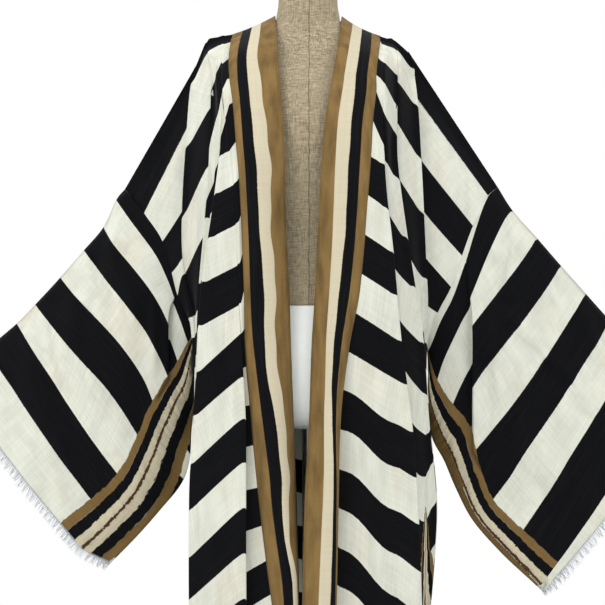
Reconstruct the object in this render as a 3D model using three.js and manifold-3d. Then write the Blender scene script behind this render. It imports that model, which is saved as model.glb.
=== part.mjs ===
// An open beach kimono worn by a limbless dress form on a stand.
// Millimetres, +Z up, the wearer faces -Y, and the floor is Z = 0.
// "left" is the wearer's left (+X). The tables of a side give x as a distance outward from the middle.
import * as THREE from 'three';
import Module from 'manifold-3d';
import { mergeVertices } from 'three/addons/utils/BufferGeometryUtils.js';

const wasm = await Module();
wasm.setup();

// ---------- driving dimensions ----------
const clothThickness = 1.6;
const seamGap = 0.9; // between the edges of two pieces that are sewn together
const clothLength = 1240; // shoulder line to hem, along the warp
const armRows = 11; // rows of points from the shoulder line to the underarm
const bodyRows = 11; // rows from the underarm to the hem
const foldHidden = 24; // how far the cloth runs back behind the crest of a fold
const foldStep = 21; // how far the cloth behind a fold lies further back
const bandParts = [0, 16, 40, 64, 94]; // the band's woven stripes: gold, black, cream, gold
const hoopCount = 8; // stripes along a sleeve
const fringeLength = 14;
const fringeStrip = 4;
const fringeGap = 0.4; // from the cuff's edge to the strip
const fringeSpacing = 10.5;
const fringeThickness = 1.3;
const fringeRoot = 1.2; // how deep a strand's root is sunk in its strip
const sharpestTurn = 0.5; // a wall's corner is mitred until its cosine of half the turn falls to this
const mergeDistance = 0.05; // points nearer than this become one where strands meet the strip

// The panel's inner edge, which is also the band's outer edge, from the shoulder line down.
const bandEdge = {
  left: [
    { t: 0, x: 141, y: 12, z: 1505 },
    { t: 25, x: 140, y: -16, z: 1490 },
    { t: 95, x: 133, y: -70, z: 1447 },
    { t: 165, x: 128, y: -98, z: 1409 },
    { t: 235, x: 127, y: -114, z: 1376 },
    { t: 305, x: 120, y: -130, z: 1319 },
    { t: 375, x: 116, y: -138, z: 1252 },
    { t: 608, x: 96, y: -140, z: 1012 },
    { t: 716, x: 76, y: -134, z: 901 },
    { t: 855, x: 59, y: -122, z: 758 },
    { t: 994, x: 54, y: -112, z: 614 },
    { t: 1240, x: 50, y: -104, z: 361 },
  ],
  right: [
    { t: 0, x: 148, y: 12, z: 1508 },
    { t: 25, x: 149, y: -16, z: 1492 },
    { t: 95, x: 150, y: -70, z: 1449 },
    { t: 165, x: 147, y: -98, z: 1402 },
    { t: 235, x: 140, y: -114, z: 1355 },
    { t: 305, x: 133, y: -132, z: 1280 },
    { t: 375, x: 127, y: -139, z: 1213 },
    { t: 585, x: 118, y: -142, z: 1004 },
    { t: 689, x: 116, y: -138, z: 901 },
    { t: 832, x: 105, y: -131, z: 759 },
    { t: 977, x: 91, y: -124, z: 615 },
    { t: 1240, x: 58, y: -112, z: 354 },
  ],
};

// The panel's outer edge: the armhole, then the side seam from the underarm down.
const underarm = { left: 375, right: 345 };
const outerEdge = {
  left: [
    { t: 0, x: 370, y: 0, z: 1208 },
    { t: 25, x: 349, y: 14, z: 1190 },
    { t: 95, x: 319, y: 22, z: 1131 },
    { t: 165, x: 297, y: 26, z: 1073 },
    { t: 235, x: 276, y: 26, z: 1013 },
    { t: 305, x: 251, y: 20, z: 963 },
    { t: 345, x: 237, y: 10, z: 920 },
    { t: 375, x: 232, y: 1.4, z: 892 },
    { t: 800, x: 229, y: 1.4, z: 500 },
    { t: 1240, x: 214, y: 1.4, z: 96 },
  ],
  right: [
    { t: 0, x: 357, y: 0, z: 1204 },
    { t: 25, x: 318, y: 14, z: 1156 },
    { t: 95, x: 281, y: 22, z: 1101 },
    { t: 165, x: 263, y: 26, z: 1040 },
    { t: 235, x: 252, y: 24, z: 997 },
    { t: 305, x: 232, y: 14, z: 950 },
    { t: 345, x: 221, y: 1.4, z: 928 },
    { t: 700, x: 212, y: 1.4, z: 600 },
    { t: 1240, x: 200, y: 1.4, z: 100 },
  ],
};

// How far down a row of cloth has come, against how far out it has run: flat on the shoulder, then steep.
const shoulderFall = [
  { f: 0, g: 0 },
  { f: 0.2, g: 0.035 },
  { f: 0.38, g: 0.29 },
  { f: 0.55, g: 0.52 },
  { f: 0.79, g: 0.81 },
  { f: 1, g: 1 },
];
const shoulderFade = 160; // the rows below this have an even slope
const foldsGrown = 130; // the folds are whole this far below the shoulder seam

// The folds of each front, from the band outward, each by its crest line from the top down.
// depth is 0 where the cloth runs flat and 1 where the fold is whole.
const frontFolds = {
  left: [
    { turn: 1, crest: [
      { z: 1500, x: 150, y: 9, depth: 0 },
      { z: 1447, x: 144, y: -70, depth: 0 },
      { z: 1390, x: 140, y: -108, depth: 0 },
      { z: 1284, x: 141, y: -132, depth: 0.4 },
      { z: 1191, x: 145, y: -140, depth: 0.9 },
      { z: 1080, x: 157, y: -142, depth: 1 },
      { z: 904, x: 173, y: -137, depth: 1 },
      { z: 749, x: 192, y: -126, depth: 1 },
      { z: 561, x: 204, y: -112, depth: 1 },
      { z: 300, x: 212, y: -102, depth: 1 },
    ] },
    { turn: 1, crest: [
      { z: 1497, x: 168, y: 6, depth: 0 },
      { z: 1450, x: 172, y: -50, depth: 0.3 },
      { z: 1337, x: 169, y: -92, depth: 0.6 },
      { z: 1251, x: 168, y: -106, depth: 0.9 },
      { z: 1119, x: 184, y: -112, depth: 1 },
      { z: 988, x: 205, y: -103, depth: 1 },
      { z: 922, x: 216, y: -94, depth: 1 },
      { z: 760, x: 229, y: -82, depth: 1 },
      { z: 604, x: 244, y: -70, depth: 1 },
      { z: 500, x: 241, y: -62, depth: 1 },
      { z: 300, x: 224, y: -56, depth: 1 },
    ] },
    { turn: 1, crest: [
      { z: 1460, x: 203, y: 2, depth: 0 },
      { z: 1425, x: 206, y: -24, depth: 0.6 },
      { z: 1355, x: 211, y: -50, depth: 1 },
      { z: 1249, x: 216, y: -62, depth: 1 },
      { z: 1064, x: 225, y: -62, depth: 1 },
      { z: 972, x: 230, y: -50, depth: 0.8 },
      { z: 900, x: 222, y: -40, depth: 0.6 },
      { z: 760, x: 220, y: -40, depth: 0.6 },
      { z: 200, x: 208, y: -30, depth: 0.6 },
    ] },
  ],
  right: [
    { turn: -1, crest: [
      { z: 1500, x: 157, y: 10, depth: 0 },
      { z: 1400, x: 156, y: -98, depth: 0 },
      { z: 1213, x: 136, y: -141, depth: 0 },
      { z: 980, x: 127, y: -146, depth: 0 },
      { z: 930, x: 124, y: -147, depth: 0.15 },
      { z: 860, x: 119, y: -147, depth: 0.6 },
      { z: 759, x: 115, y: -146, depth: 1 },
      { z: 616, x: 115, y: -140, depth: 1 },
      { z: 300, x: 115, y: -130, depth: 1 },
    ] },
    { turn: 1, crest: [
      { z: 1498, x: 172, y: 8, depth: 0 },
      { z: 1400, x: 168, y: -92, depth: 0 },
      { z: 1323, x: 160, y: -122, depth: 0.3 },
      { z: 1251, x: 165, y: -132, depth: 0.7 },
      { z: 1173, x: 174, y: -138, depth: 1 },
      { z: 1006, x: 197, y: -140, depth: 1 },
      { z: 846, x: 206, y: -134, depth: 1 },
      { z: 745, x: 213, y: -128, depth: 1 },
      { z: 611, x: 220, y: -120, depth: 1 },
      { z: 300, x: 221, y: -108, depth: 1 },
    ] },
    { turn: 1, crest: [
      { z: 1495, x: 188, y: 6, depth: 0 },
      { z: 1446, x: 190, y: -40, depth: 0.35 },
      { z: 1366, x: 184, y: -80, depth: 0.5 },
      { z: 1222, x: 187, y: -106, depth: 0.9 },
      { z: 1129, x: 194, y: -110, depth: 1 },
      { z: 988, x: 206, y: -106, depth: 1 },
      { z: 745, x: 213, y: -94, depth: 1 },
      { z: 300, x: 212, y: -78, depth: 1 },
    ] },
    { turn: 1, crest: [
      { z: 1440, x: 222, y: 2, depth: 0 },
      { z: 1404, x: 227, y: -26, depth: 0.7 },
      { z: 1313, x: 232, y: -48, depth: 1 },
      { z: 1150, x: 241, y: -56, depth: 1 },
      { z: 1060, x: 240, y: -54, depth: 0.8 },
      { z: 960, x: 222, y: -48, depth: 0.7 },
      { z: 745, x: 208, y: -50, depth: 0.7 },
      { z: 200, x: 196, y: -36, depth: 0.7 },
    ] },
  ],
};

// The back hangs in two folds a side between its middle and the side seams.
const backNeckPoint = [
  { t: 0, x: 144, y: 12.6, z: 1506 },
  { t: 60, x: 146, y: 66, z: 1472 },
  { t: 130, x: 140, y: 104, z: 1412 },
  { t: 250, x: 128, y: 122, z: 1300 },
  { t: 500, x: 110, y: 132, z: 1055 },
  { t: 1240, x: 104, y: 128, z: 318 },
];
const backMiddle = [
  { t: 0, x: 0, y: 110, z: 1450 },
  { t: 60, x: 0, y: 117, z: 1396 },
  { t: 250, x: 0, y: 124, z: 1216 },
  { t: 500, x: 0, y: 126, z: 975 },
  { t: 1240, x: 0, y: 122, z: 262 },
];
const backFolds = [
  { turn: 1, crest: [
    { z: 1500, x: 168, y: 8, depth: 0 },
    { z: 1440, x: 170, y: 70, depth: 0 },
    { z: 1340, x: 160, y: 112, depth: 0.3 },
    { z: 1150, x: 152, y: 136, depth: 0.8 },
    { z: 700, x: 150, y: 142, depth: 1 },
    { z: 200, x: 152, y: 138, depth: 1 },
  ] },
  { turn: 1, crest: [
    { z: 1460, x: 205, y: 4, depth: 0 },
    { z: 1400, x: 210, y: 44, depth: 0.3 },
    { z: 1250, x: 214, y: 74, depth: 0.9 },
    { z: 1000, x: 216, y: 84, depth: 1 },
    { z: 700, x: 212, y: 92, depth: 1 },
    { z: 200, x: 206, y: 84, depth: 1 },
  ] },
];

// Where the band's middle (black to cream) and its inner edge lie, by the height of its outer edge.
const bandSection = {
  left: [
    { z: 1505, midX: 101, midY: 8, midZ: 1520, inX: 66, inY: 2, inZ: 1541 },
    { z: 1490, midX: 101, midY: -24, midZ: 1502, inX: 63, inY: -36, inZ: 1518 },
    { z: 1447, midX: 95, midY: -86, midZ: 1451, inX: 54, inY: -92, inZ: 1456 },
    { z: 1319, midX: 80, midY: -140, midZ: 1319, inX: 32, inY: -128, inZ: 1320 },
    { z: 1153, midX: 72, midY: -150, midZ: 1153, inX: 20, inY: -136, inZ: 1153 },
    { z: 1012, midX: 57, midY: -150, midZ: 1012, inX: 14, inY: -126, inZ: 1012 },
    { z: 901, midX: 50, midY: -152, midZ: 901, inX: 7, inY: -124, inZ: 901 },
    { z: 758, midX: 48, midY: -152, midZ: 758, inX: 2, inY: -130, inZ: 758 },
    { z: 614, midX: 46, midY: -146, midZ: 614, inX: -6, inY: -134, inZ: 614 },
    { z: 361, midX: 40, midY: -138, midZ: 361, inX: -12, inY: -128, inZ: 361 },
  ],
  right: [
    { z: 1508, midX: 107, midY: 8, midZ: 1522, inX: 64, inY: 2, inZ: 1542 },
    { z: 1492, midX: 109, midY: -24, midZ: 1504, inX: 62, inY: -36, inZ: 1520 },
    { z: 1449, midX: 113, midY: -86, midZ: 1452, inX: 57, inY: -92, inZ: 1456 },
    { z: 1280, midX: 98, midY: -146, midZ: 1280, inX: 44, inY: -130, inZ: 1281 },
    { z: 1144, midX: 86, midY: -152, midZ: 1144, inX: 42, inY: -124, inZ: 1144 },
    { z: 1004, midX: 81, midY: -152, midZ: 1004, inX: 35, inY: -122, inZ: 1004 },
    { z: 901, midX: 77, midY: -150, midZ: 901, inX: 32, inY: -120, inZ: 901 },
    { z: 759, midX: 64, midY: -150, midZ: 759, inX: 27, inY: -116, inZ: 759 },
    { z: 615, midX: 46, midY: -146, midZ: 615, inX: 22, inY: -98, inZ: 615 },
    { z: 469, midX: 28, midY: -140, midZ: 469, inX: 19, inY: -88, inZ: 469 },
    { z: 354, midX: 26, midY: -134, midZ: 354, inX: 20, inY: -82, inZ: 354 },
  ],
};
const bandNeckBack = { inY: 72, inZ: 1532, midY: 98, midZ: 1492 }; // at the middle of the back of the neck

// A sleeve by the ends of its hoops: on the top line, on the underarm seam and on the underside.
const sleeveHoops = {
  left: [
    { topX: 370, topZ: 1208, seamX: 232, seamZ: 892, lowX: 230, lowZ: 886 },
    { topX: 400, topZ: 1161, seamX: 238, seamZ: 795, lowX: 232, lowZ: 782 },
    { topX: 448, topZ: 1107, seamX: 257, seamZ: 735, lowX: 242, lowZ: 718 },
    { topX: 494, topZ: 1054, seamX: 279, seamZ: 690, lowX: 266, lowZ: 672 },
    { topX: 542, topZ: 1000, seamX: 303, seamZ: 630, lowX: 289, lowZ: 618 },
    { topX: 589, topZ: 947, seamX: 333, seamZ: 566, lowX: 322, lowZ: 556 },
    { topX: 636, topZ: 892, seamX: 391, seamZ: 501, lowX: 379, lowZ: 491 },
    { topX: 684, topZ: 840, seamX: 444, seamZ: 446, lowX: 436, lowZ: 438 },
    { topX: 743, topZ: 785, seamX: 462, seamZ: 424, lowX: 457, lowZ: 419 },
  ],
  right: [
    { topX: 357, topZ: 1204, seamX: 221, seamZ: 928, lowX: 220, lowZ: 922 },
    { topX: 374, topZ: 1183, seamX: 226, seamZ: 885, lowX: 219, lowZ: 860 },
    { topX: 399, topZ: 1130, seamX: 238, seamZ: 830, lowX: 221, lowZ: 790 },
    { topX: 437, topZ: 1085, seamX: 257, seamZ: 790, lowX: 226, lowZ: 730 },
    { topX: 483, topZ: 1032, seamX: 280, seamZ: 740, lowX: 230, lowZ: 672 },
    { topX: 532, topZ: 979, seamX: 303, seamZ: 680, lowX: 246, lowZ: 625 },
    { topX: 568, topZ: 942, seamX: 338, seamZ: 611, lowX: 287, lowZ: 574 },
    { topX: 626, topZ: 891, seamX: 386, seamZ: 556, lowX: 331, lowZ: 524 },
    { topX: 688, topZ: 820, seamX: 439, seamZ: 505, lowX: 384, lowZ: 470 },
  ],
};
const underarmEase = 1.2; // the sleeve's seam stands this much further out at the underarm
const sleeveShape = {
  left: { front: 26, back: 26, seamY: -6, lowAt: 0.93 },
  right: { front: 26, back: 26, seamY: -16, lowAt: 0.84 },
};
// A step in a sleeve's front, where the outer cloth stands over the cloth nearer the body.
const sleeveStep = {
  left: { x: 316, width: 10, height: 16, topZ: 1190, lowZ: 640 },
  right: { x: 268, width: 12, height: 14, topZ: 1110, lowZ: 780 },
};

// The dress form's sections: half width, depth to the front and depth to the back.
const formTorso = [
  { z: 1612, half: 53, front: 52, back: 54 },
  { z: 1605, half: 57, front: 56, back: 58 },
  { z: 1575, half: 57, front: 56, back: 58 },
  { z: 1550, half: 57, front: 56, back: 58 },
  { z: 1528, half: 62, front: 55, back: 60 },
  { z: 1508, half: 85.5, front: 56, back: 62.5 },
  { z: 1489, half: 125.5, front: 59, back: 68 },
  { z: 1468, half: 156, front: 66, back: 76 },
  { z: 1435, half: 170, front: 80, back: 88 },
  { z: 1400, half: 170, front: 99, back: 97 },
  { z: 1320, half: 160, front: 112, back: 94 },
  { z: 1220, half: 146, front: 104, back: 87 },
  { z: 1110, half: 130, front: 90, back: 82 },
  { z: 1030, half: 140, front: 94, back: 94 },
  { z: 978, half: 152, front: 97, back: 102 },
];
const formHip = [
  { z: 977.4, half: 151, front: 96.5, back: 101.5 },
  { z: 900, half: 162, front: 100, back: 110 },
  { z: 810, half: 160, front: 99, back: 108 },
  { z: 768, half: 148, front: 92, back: 99 },
  { z: 750, half: 128, front: 78, back: 84 },
  { z: 742, half: 96, front: 56, back: 62 },
];
const formSides = 28;
const neckCap = { radius: 50, height: 14 };
const pole = { radius: 11, top: 741.6, foot: 16.3 };
const base = { radius: 190, height: 16, edge: 5 };

// ---------- small helpers ----------
const mix = (a, b, w) => a + (b - a) * w;
const clamp01 = (w) => Math.min(1, Math.max(0, w));
const ease = (w) => clamp01(w) ** 2 * (3 - 2 * clamp01(w));
const point = (x, y, z) => new THREE.Vector3(x, y, z);

// Reads a table at a value of its first column; the columns run smoothly through the rows.
function readTable(table, key, value) {
  const falling = table[0][key] > table[table.length - 1][key];
  const after = table.findIndex((row) => (falling ? row[key] <= value : row[key] >= value));
  if (after === 0) return table[0];
  if (after < 0) return table[table.length - 1];
  const [r0, r1, r2, r3] = [after - 2, after - 1, after, after + 1]
    .map((i) => table[Math.min(table.length - 1, Math.max(0, i))]);
  const span = r2[key] - r1[key];
  const w = (value - r1[key]) / span;
  const out = {};
  for (const name of Object.keys(r1)) {
    const slopeIn = r1 === r0 ? 0 : (r2[name] - r0[name]) / (r2[key] - r0[key]);
    const slopeOut = r3 === r2 ? 0 : (r3[name] - r1[name]) / (r3[key] - r1[key]);
    const m1 = (r1 === r0 ? (r2[name] - r1[name]) / span : slopeIn) * span;
    const m2 = (r3 === r2 ? (r2[name] - r1[name]) / span : slopeOut) * span;
    const w2 = w * w;
    const w3 = w2 * w;
    out[name] = (2 * w3 - 3 * w2 + 1) * r1[name] + (w3 - 2 * w2 + w) * m1
      + (3 * w2 - 2 * w3) * r2[name] + (w3 - w2) * m2;
  }
  return out;
}

// ---------- a row of cloth ----------
// The four points of one fold where the row of cloth crosses it, seen from above. Near the shoulder
// seam (small grown) the fold is still shallow and lies on the straight line between the row's ends.
function foldPoint(fold, k, z, inner, outer, grown) {
  const crest = readTable(fold.crest, 'z', z);
  const { x } = crest;
  const depth = crest.depth * grown;
  const straight = mix(inner.y, outer.y, (x - inner.x) / (outer.x - inner.x));
  const y = mix(straight, crest.y, grown);
  const back = -Math.sign(crest.y); // away from the outside of the garment
  const pad = 5 + 7 * depth;
  const flat = [-pad, -pad / 4, pad / 3, pad][k];
  const whole = fold.turn > 0
    ? [[-pad, 0], [0, 4], [-foldHidden, 11], [3, foldStep]][k]
    : [[foldHidden * 0.4, 16], [foldHidden, 9], [0, 2.5], [pad, 0]][k];
  return [x + mix(flat, whole[0], depth), y + back * whole[1] * depth];
}

// One row of cloth from its inner edge to its outer edge, as control points in a side's own x.
function clothRow(inner, outer, folds, t) {
  const fade = ease(1 - t / shoulderFade);
  const grown = ease(t / foldsGrown);
  const count = folds.length * 4 + 2;
  const row = Array.from({ length: count }, (_, j) => point(0, 0, mix(inner.z, outer.z, j / (count - 1))));
  for (let pass = 0; pass < 5; pass += 1) {
    row.forEach((p, j) => {
      if (j === 0) p.set(inner.x, inner.y, inner.z);
      else if (j === count - 1) p.set(outer.x, outer.y, outer.z);
      else {
        const [x, y] = foldPoint(folds[Math.floor((j - 1) / 4)], (j - 1) % 4, p.z, inner, outer, grown);
        p.x = x;
        p.y = y;
      }
    });
    const run = [0];
    for (let j = 1; j < count; j += 1) {
      run.push(run[j - 1] + Math.hypot(row[j].x - row[j - 1].x, row[j].y - row[j - 1].y));
    }
    for (let j = 1; j < count - 1; j += 1) {
      const f = run[j] / run[count - 1];
      const g = mix(f, readTable(shoulderFall, 'f', f).g, fade);
      row[j].z = mix(inner.z, outer.z, g);
    }
  }
  return row;
}

// The row drawn as a smooth curve: two steps on the long stretches between folds, one elsewhere.
function smoothRow(controls) {
  const out = [controls[0]];
  for (let j = 0; j < controls.length - 1; j += 1) {
    const four = [j - 1, j, j + 1, j + 2]
      .map((i) => controls[Math.min(controls.length - 1, Math.max(0, i))]);
    const steps = j % 4 === 0 ? 2 : 1;
    for (let s = 1; s <= steps; s += 1) out.push(catmull(four, s / steps));
  }
  return out;
}

function catmull([a, b, c, d], w) {
  const at = (k) => 0.5 * (2 * b[k] + (c[k] - a[k]) * w + (2 * a[k] - 5 * b[k] + 4 * c[k] - d[k]) * w * w
    + (3 * b[k] - a[k] - 3 * c[k] + d[k]) * w * w * w);
  return point(at('x'), at('y'), at('z'));
}

function rowLengths(side) {
  const top = Array.from({ length: armRows + 1 }, (_, i) => (underarm[side] * i) / armRows);
  const rest = clothLength - underarm[side];
  const low = Array.from({ length: bodyRows }, (_, i) => underarm[side] + (rest * (i + 1)) / bodyRows);
  return [...top, ...low];
}

// The shoulder seam lies a little behind the middle at the neck and runs to the top of the armhole.
function onShoulderSeam(row, side, offset) {
  const neck = bandEdge[side][0];
  row.forEach((p) => {
    p.y = mix(neck.y, 0, ease((p.x - neck.x) / 60)) + offset;
  });
  return row;
}

function frontRow(side, t) {
  const outer = { ...readTable(outerEdge[side], 't', t) };
  outer.y = -outer.y;
  const row = smoothRow(clothRow(readTable(bandEdge[side], 't', t), outer, frontFolds[side], t));
  return t === 0 ? onShoulderSeam(row, side, -seamGap / 2) : row;
}

// A row of the back's half, from beside the neck outward; its first row follows the front's.
function backRow(side, t) {
  const inner = { ...readTable(backNeckPoint, 't', t) };
  const outer = readTable(outerEdge[side], 't', t);
  const neck = bandEdge[side][0];
  const w = ease(t / 70);
  inner.x = mix(neck.x, inner.x, w);
  inner.z = mix(neck.z, inner.z, w);
  const row = smoothRow(clothRow(inner, outer, backFolds, t));
  return t === 0 ? onShoulderSeam(row, side, seamGap / 2) : row;
}

const sideSign = { left: 1, right: -1 };
const toSide = (side, row) => row.map((p) => point(p.x * sideSign[side], p.y, p.z));

// ---------- walls ----------
// The mean direction through a point, square to another direction if one is given.
// It is shorter the more sharply the cloth turns there.
function wayThrough(before, p, after, square = point(0, 0, 0)) {
  const ways = [];
  if (before) ways.push(p.clone().sub(before));
  if (after) ways.push(after.clone().sub(p));
  const mean = point(0, 0, 0);
  for (const way of ways) {
    way.addScaledVector(square, -way.dot(square));
    mean.addScaledVector(way.normalize(), 1 / ways.length);
  }
  return mean;
}

// Makes a closed wall from a grid of points. next gives, for each edge of the grid, the neighbour's
// points beyond it, so that two pieces meet squarely; an edge with a neighbour stands back from it.
function wall(grid, { closed = false, next = {}, thickness = clothThickness } = {}) {
  const rows = grid.length;
  const cols = grid[0].length;
  const at = (i, j) => {
    if (closed) return (grid[i] ?? (i < 0 ? next.top : next.bottom))?.[(j + cols) % cols];
    if (i < 0) return next.top?.[j];
    if (i >= rows) return next.bottom?.[j];
    if (j < 0) return next.start?.[i];
    if (j >= cols) return next.end?.[i];
    return grid[i][j];
  };
  const sides = [[], []];
  for (let i = 0; i < rows; i += 1) {
    for (let j = 0; j < cols; j += 1) {
      const p = grid[i][j];
      const down = wayThrough(at(i - 1, j), p, at(i + 1, j)).normalize();
      const along = wayThrough(at(i, j - 1), p, at(i, j + 1), down);
      const inside = closed || (j > 0 && j < cols - 1);
      const reach = thickness / 2 / (inside ? Math.max(sharpestTurn, along.length()) : 1);
      const normal = along.cross(down).normalize().multiplyScalar(reach);
      const q = p.clone();
      const pull = (edge, inside) => {
        if (edge) q.add(inside.clone().sub(p).normalize().multiplyScalar(seamGap / 2));
      };
      pull(i === 0 && next.top, grid[Math.min(1, rows - 1)][j]);
      pull(i === rows - 1 && next.bottom, grid[Math.max(0, rows - 2)][j]);
      if (!closed) {
        pull(j === 0 && next.start?.[i], grid[i][1]);
        pull(j === cols - 1 && next.end?.[i], grid[i][cols - 2]);
      }
      sides[0].push(q.clone().add(normal));
      sides[1].push(q.clone().sub(normal));
    }
  }
  const points = [...sides[0], ...sides[1]];
  const half = rows * cols;
  const faces = [];
  const quad = (a, b, c, d) => faces.push(a, b, c, a, c, d);
  const lastCol = closed ? cols : cols - 1;
  for (let i = 0; i < rows - 1; i += 1) {
    for (let j = 0; j < lastCol; j += 1) {
      const [a, b] = [i * cols + j, i * cols + ((j + 1) % cols)];
      quad(a, a + cols, b + cols, b);
      quad(half + a, half + b, half + b + cols, half + a + cols);
    }
  }
  for (let j = 0; j < lastCol; j += 1) {
    const [a, b] = [j, (j + 1) % cols];
    const low = (rows - 1) * cols;
    quad(a, b, half + b, half + a);
    quad(low + a, half + low + a, half + low + b, low + b);
  }
  if (!closed) {
    for (let i = 0; i < rows - 1; i += 1) {
      const a = i * cols;
      const b = a + cols - 1;
      quad(a, half + a, half + a + cols, a + cols);
      quad(b, b + cols, half + b + cols, half + b);
    }
  }
  return solid(points, faces);
}

// A closed mesh with its faces pointing out.
function solid(points, faces) {
  let volume = 0;
  for (let k = 0; k < faces.length; k += 3) {
    const [a, b, c] = [points[faces[k]], points[faces[k + 1]], points[faces[k + 2]]];
    volume += a.dot(b.clone().cross(c));
  }
  const order = volume < 0 ? faces.map((_, k) => faces[k - (k % 3) + 2 - (k % 3)]) : faces;
  const geometry = new THREE.BufferGeometry();
  geometry.setAttribute('position', new THREE.Float32BufferAttribute(points.flatMap((p) => p.toArray()), 3));
  geometry.setIndex(order);
  return geometry;
}

// ---------- the cloth's grids ----------
const rowsOf = { left: rowLengths('left'), right: rowLengths('right') };
const frontGrid = {};
const backHalf = {};
for (const side of ['left', 'right']) {
  frontGrid[side] = rowsOf[side].map((t) => toSide(side, frontRow(side, t)));
  backHalf[side] = rowsOf[side].map((t) => toSide(side, backRow(side, t)));
}

// The middle of the back between the two neck points, and at its top the back neck seam.
const middleSteps = 6;
function backCentre(i) {
  const middle = readTable(backMiddle, 't', rowsOf.left[i]);
  const [left, right] = [backHalf.left[i][0], backHalf.right[i][0]];
  return Array.from({ length: middleSteps - 1 }, (_, k) => {
    const w = 1 - (2 * (k + 1)) / middleSteps;
    const edge = w > 0 ? left : right;
    return point(Math.abs(w) * edge.x, mix(middle.y, edge.y, w * w), mix(middle.z, edge.z, w * w));
  });
}
const backGrid = rowsOf.left.map((_, i) => [
  ...[...backHalf.left[i]].reverse(),
  ...backCentre(i),
  ...backHalf.right[i],
]);

// ---------- the band ----------
// A section of the band from its outer edge through its middle to its inner edge.
function bandAcross(outer, middle, inner) {
  const curve = new THREE.QuadraticBezierCurve3(
    outer,
    middle.clone().multiplyScalar(2).sub(outer.clone().add(inner).multiplyScalar(0.5)),
    inner,
  );
  return bandParts.map((part) => curve.getPoint(part / bandParts[4]));
}

function bandSide(side) {
  const sign = sideSign[side];
  return frontGrid[side].map((row) => {
    const outer = row[0];
    const s = readTable(bandSection[side], 'z', outer.z);
    const fall = outer.z < 1400 ? outer.z : null; // lower down the section is level
    return bandAcross(
      outer,
      point(s.midX * sign, s.midY, fall ?? s.midZ),
      point(s.inX * sign, s.inY, fall ?? s.inZ),
    );
  });
}

function bandNeck(sections) {
  const [left, right] = [sections.left[0], sections.right[0]];
  return backCentre(0).map((outer, k) => {
    const w = 1 - (2 * (k + 1)) / middleSteps;
    const end = w > 0 ? left : right;
    const round = Math.sqrt(1 - w * w);
    const place = (column, y, z) => point(
      end[column].x * Math.sin((Math.abs(w) * Math.PI) / 2),
      mix(end[column].y, y, round),
      mix(z, end[column].z, w * w),
    );
    const middle = place(2, bandNeckBack.midY, bandNeckBack.midZ);
    const inner = place(4, bandNeckBack.inY, bandNeckBack.inZ);
    return bandAcross(outer, middle, inner);
  });
}

const bandSides = { left: bandSide('left'), right: bandSide('right') };
const bandGrid = [...[...bandSides.left].reverse(), ...bandNeck(bandSides), ...bandSides.right];

// ---------- the sleeves ----------
function sleevePoint(side, hoop, q, front) {
  const h = readTable(sleeveHoops[side].map((row, k) => ({ k, ...row })), 'k', hoop);
  const shape = sleeveShape[side];
  const open = mix(1, 1.25, hoop / hoopCount);
  if (front) {
    const x = mix(h.topX, h.seamX, q);
    const z = mix(h.topZ, h.seamZ, q);
    const step = sleeveStep[side];
    const inside = ease((step.topZ - z) / 60) * ease((z - step.lowZ) / 60);
    const behind = step.height * inside * ease((step.x + step.width / 2 - x) / step.width);
    const puff = -shape.front * open * Math.sin(Math.PI * q) ** 0.8;
    return point(x, puff + shape.seamY * q ** 4 + behind * 4 * q * (1 - q), z);
  }
  const w = Math.min(1, q / shape.lowAt);
  const wrap = clamp01((q - shape.lowAt) / (1 - shape.lowAt));
  const x = mix(mix(h.topX, h.lowX, w), h.seamX, wrap);
  const z = mix(mix(h.topZ, h.lowZ, w), h.seamZ, wrap);
  const y = mix(shape.back * open * Math.sin(Math.PI * w * 0.92) ** 0.8, shape.seamY, ease(wrap));
  return point(x, y, z);
}

// A ring of the sleeve: down its front from the top line to the seam, then up its back.
function sleeveRing(side, hoop) {
  const ring = [];
  const fade = ease(1 - hoop / 1.6);
  const last = { front: frontGrid[side][0].length - 1, back: backHalf[side][0].length - 1 };
  const one = (i, front) => {
    const q = i / armRows;
    const p = sleevePoint(side, hoop, q, front);
    const start = sleevePoint(side, 0, q, front);
    const hole = front ? frontGrid[side][i][last.front] : backHalf[side][i][last.back];
    const own = point(hole.x * sideSign[side], hole.y, hole.z);
    if (i === 0 || i === armRows) own.y = 0;
    own.x += underarmEase * ease((i - armRows + 3) / 2);
    return p.add(own.sub(start).multiplyScalar(fade));
  };
  for (let i = 0; i <= armRows; i += 1) ring.push(one(i, true));
  for (let i = armRows - 1; i > 0; i -= 1) ring.push(one(i, false));
  return toSide(side, ring);
}

const sleeveStations = [0, 0.35, 1, 1.7, 2.5, 3.3, 4.2, 5, 6, 7, 8];
const sleeveRings = {};
for (const side of ['left', 'right']) {
  sleeveRings[side] = sleeveStations.map((hoop) => sleeveRing(side, hoop));
}

// ---------- fringe ----------
function toManifold(geometry) {
  const bare = mergeVertices(geometry);
  const mesh = new wasm.Mesh({
    numProp: 3,
    vertProperties: bare.attributes.position.array,
    triVerts: new Uint32Array(bare.index.array),
  });
  return new wasm.Manifold(mesh);
}

function fromManifold(body) {
  const mesh = body.getMesh();
  const geometry = new THREE.BufferGeometry();
  geometry.setAttribute('position', new THREE.BufferAttribute(mesh.vertProperties, 3));
  geometry.setIndex([...mesh.triVerts]);
  return geometry;
}

// One strand: a three-sided spike whose root is sunk in the strip.
function strand(root, way, across, length) {
  const out = way.clone().cross(across).normalize();
  const corner = (angle, r) => root.clone()
    .addScaledVector(across, Math.cos(angle) * r)
    .addScaledVector(out, Math.sin(angle) * r);
  const foot = [0, 1, 2].map((k) => corner((k * 2 * Math.PI) / 3, fringeThickness * 0.55));
  const tip = root.clone().addScaledVector(way, length);
  return solid([...foot, tip], [0, 2, 1, 0, 1, 3, 1, 2, 3, 2, 0, 3]);
}

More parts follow.
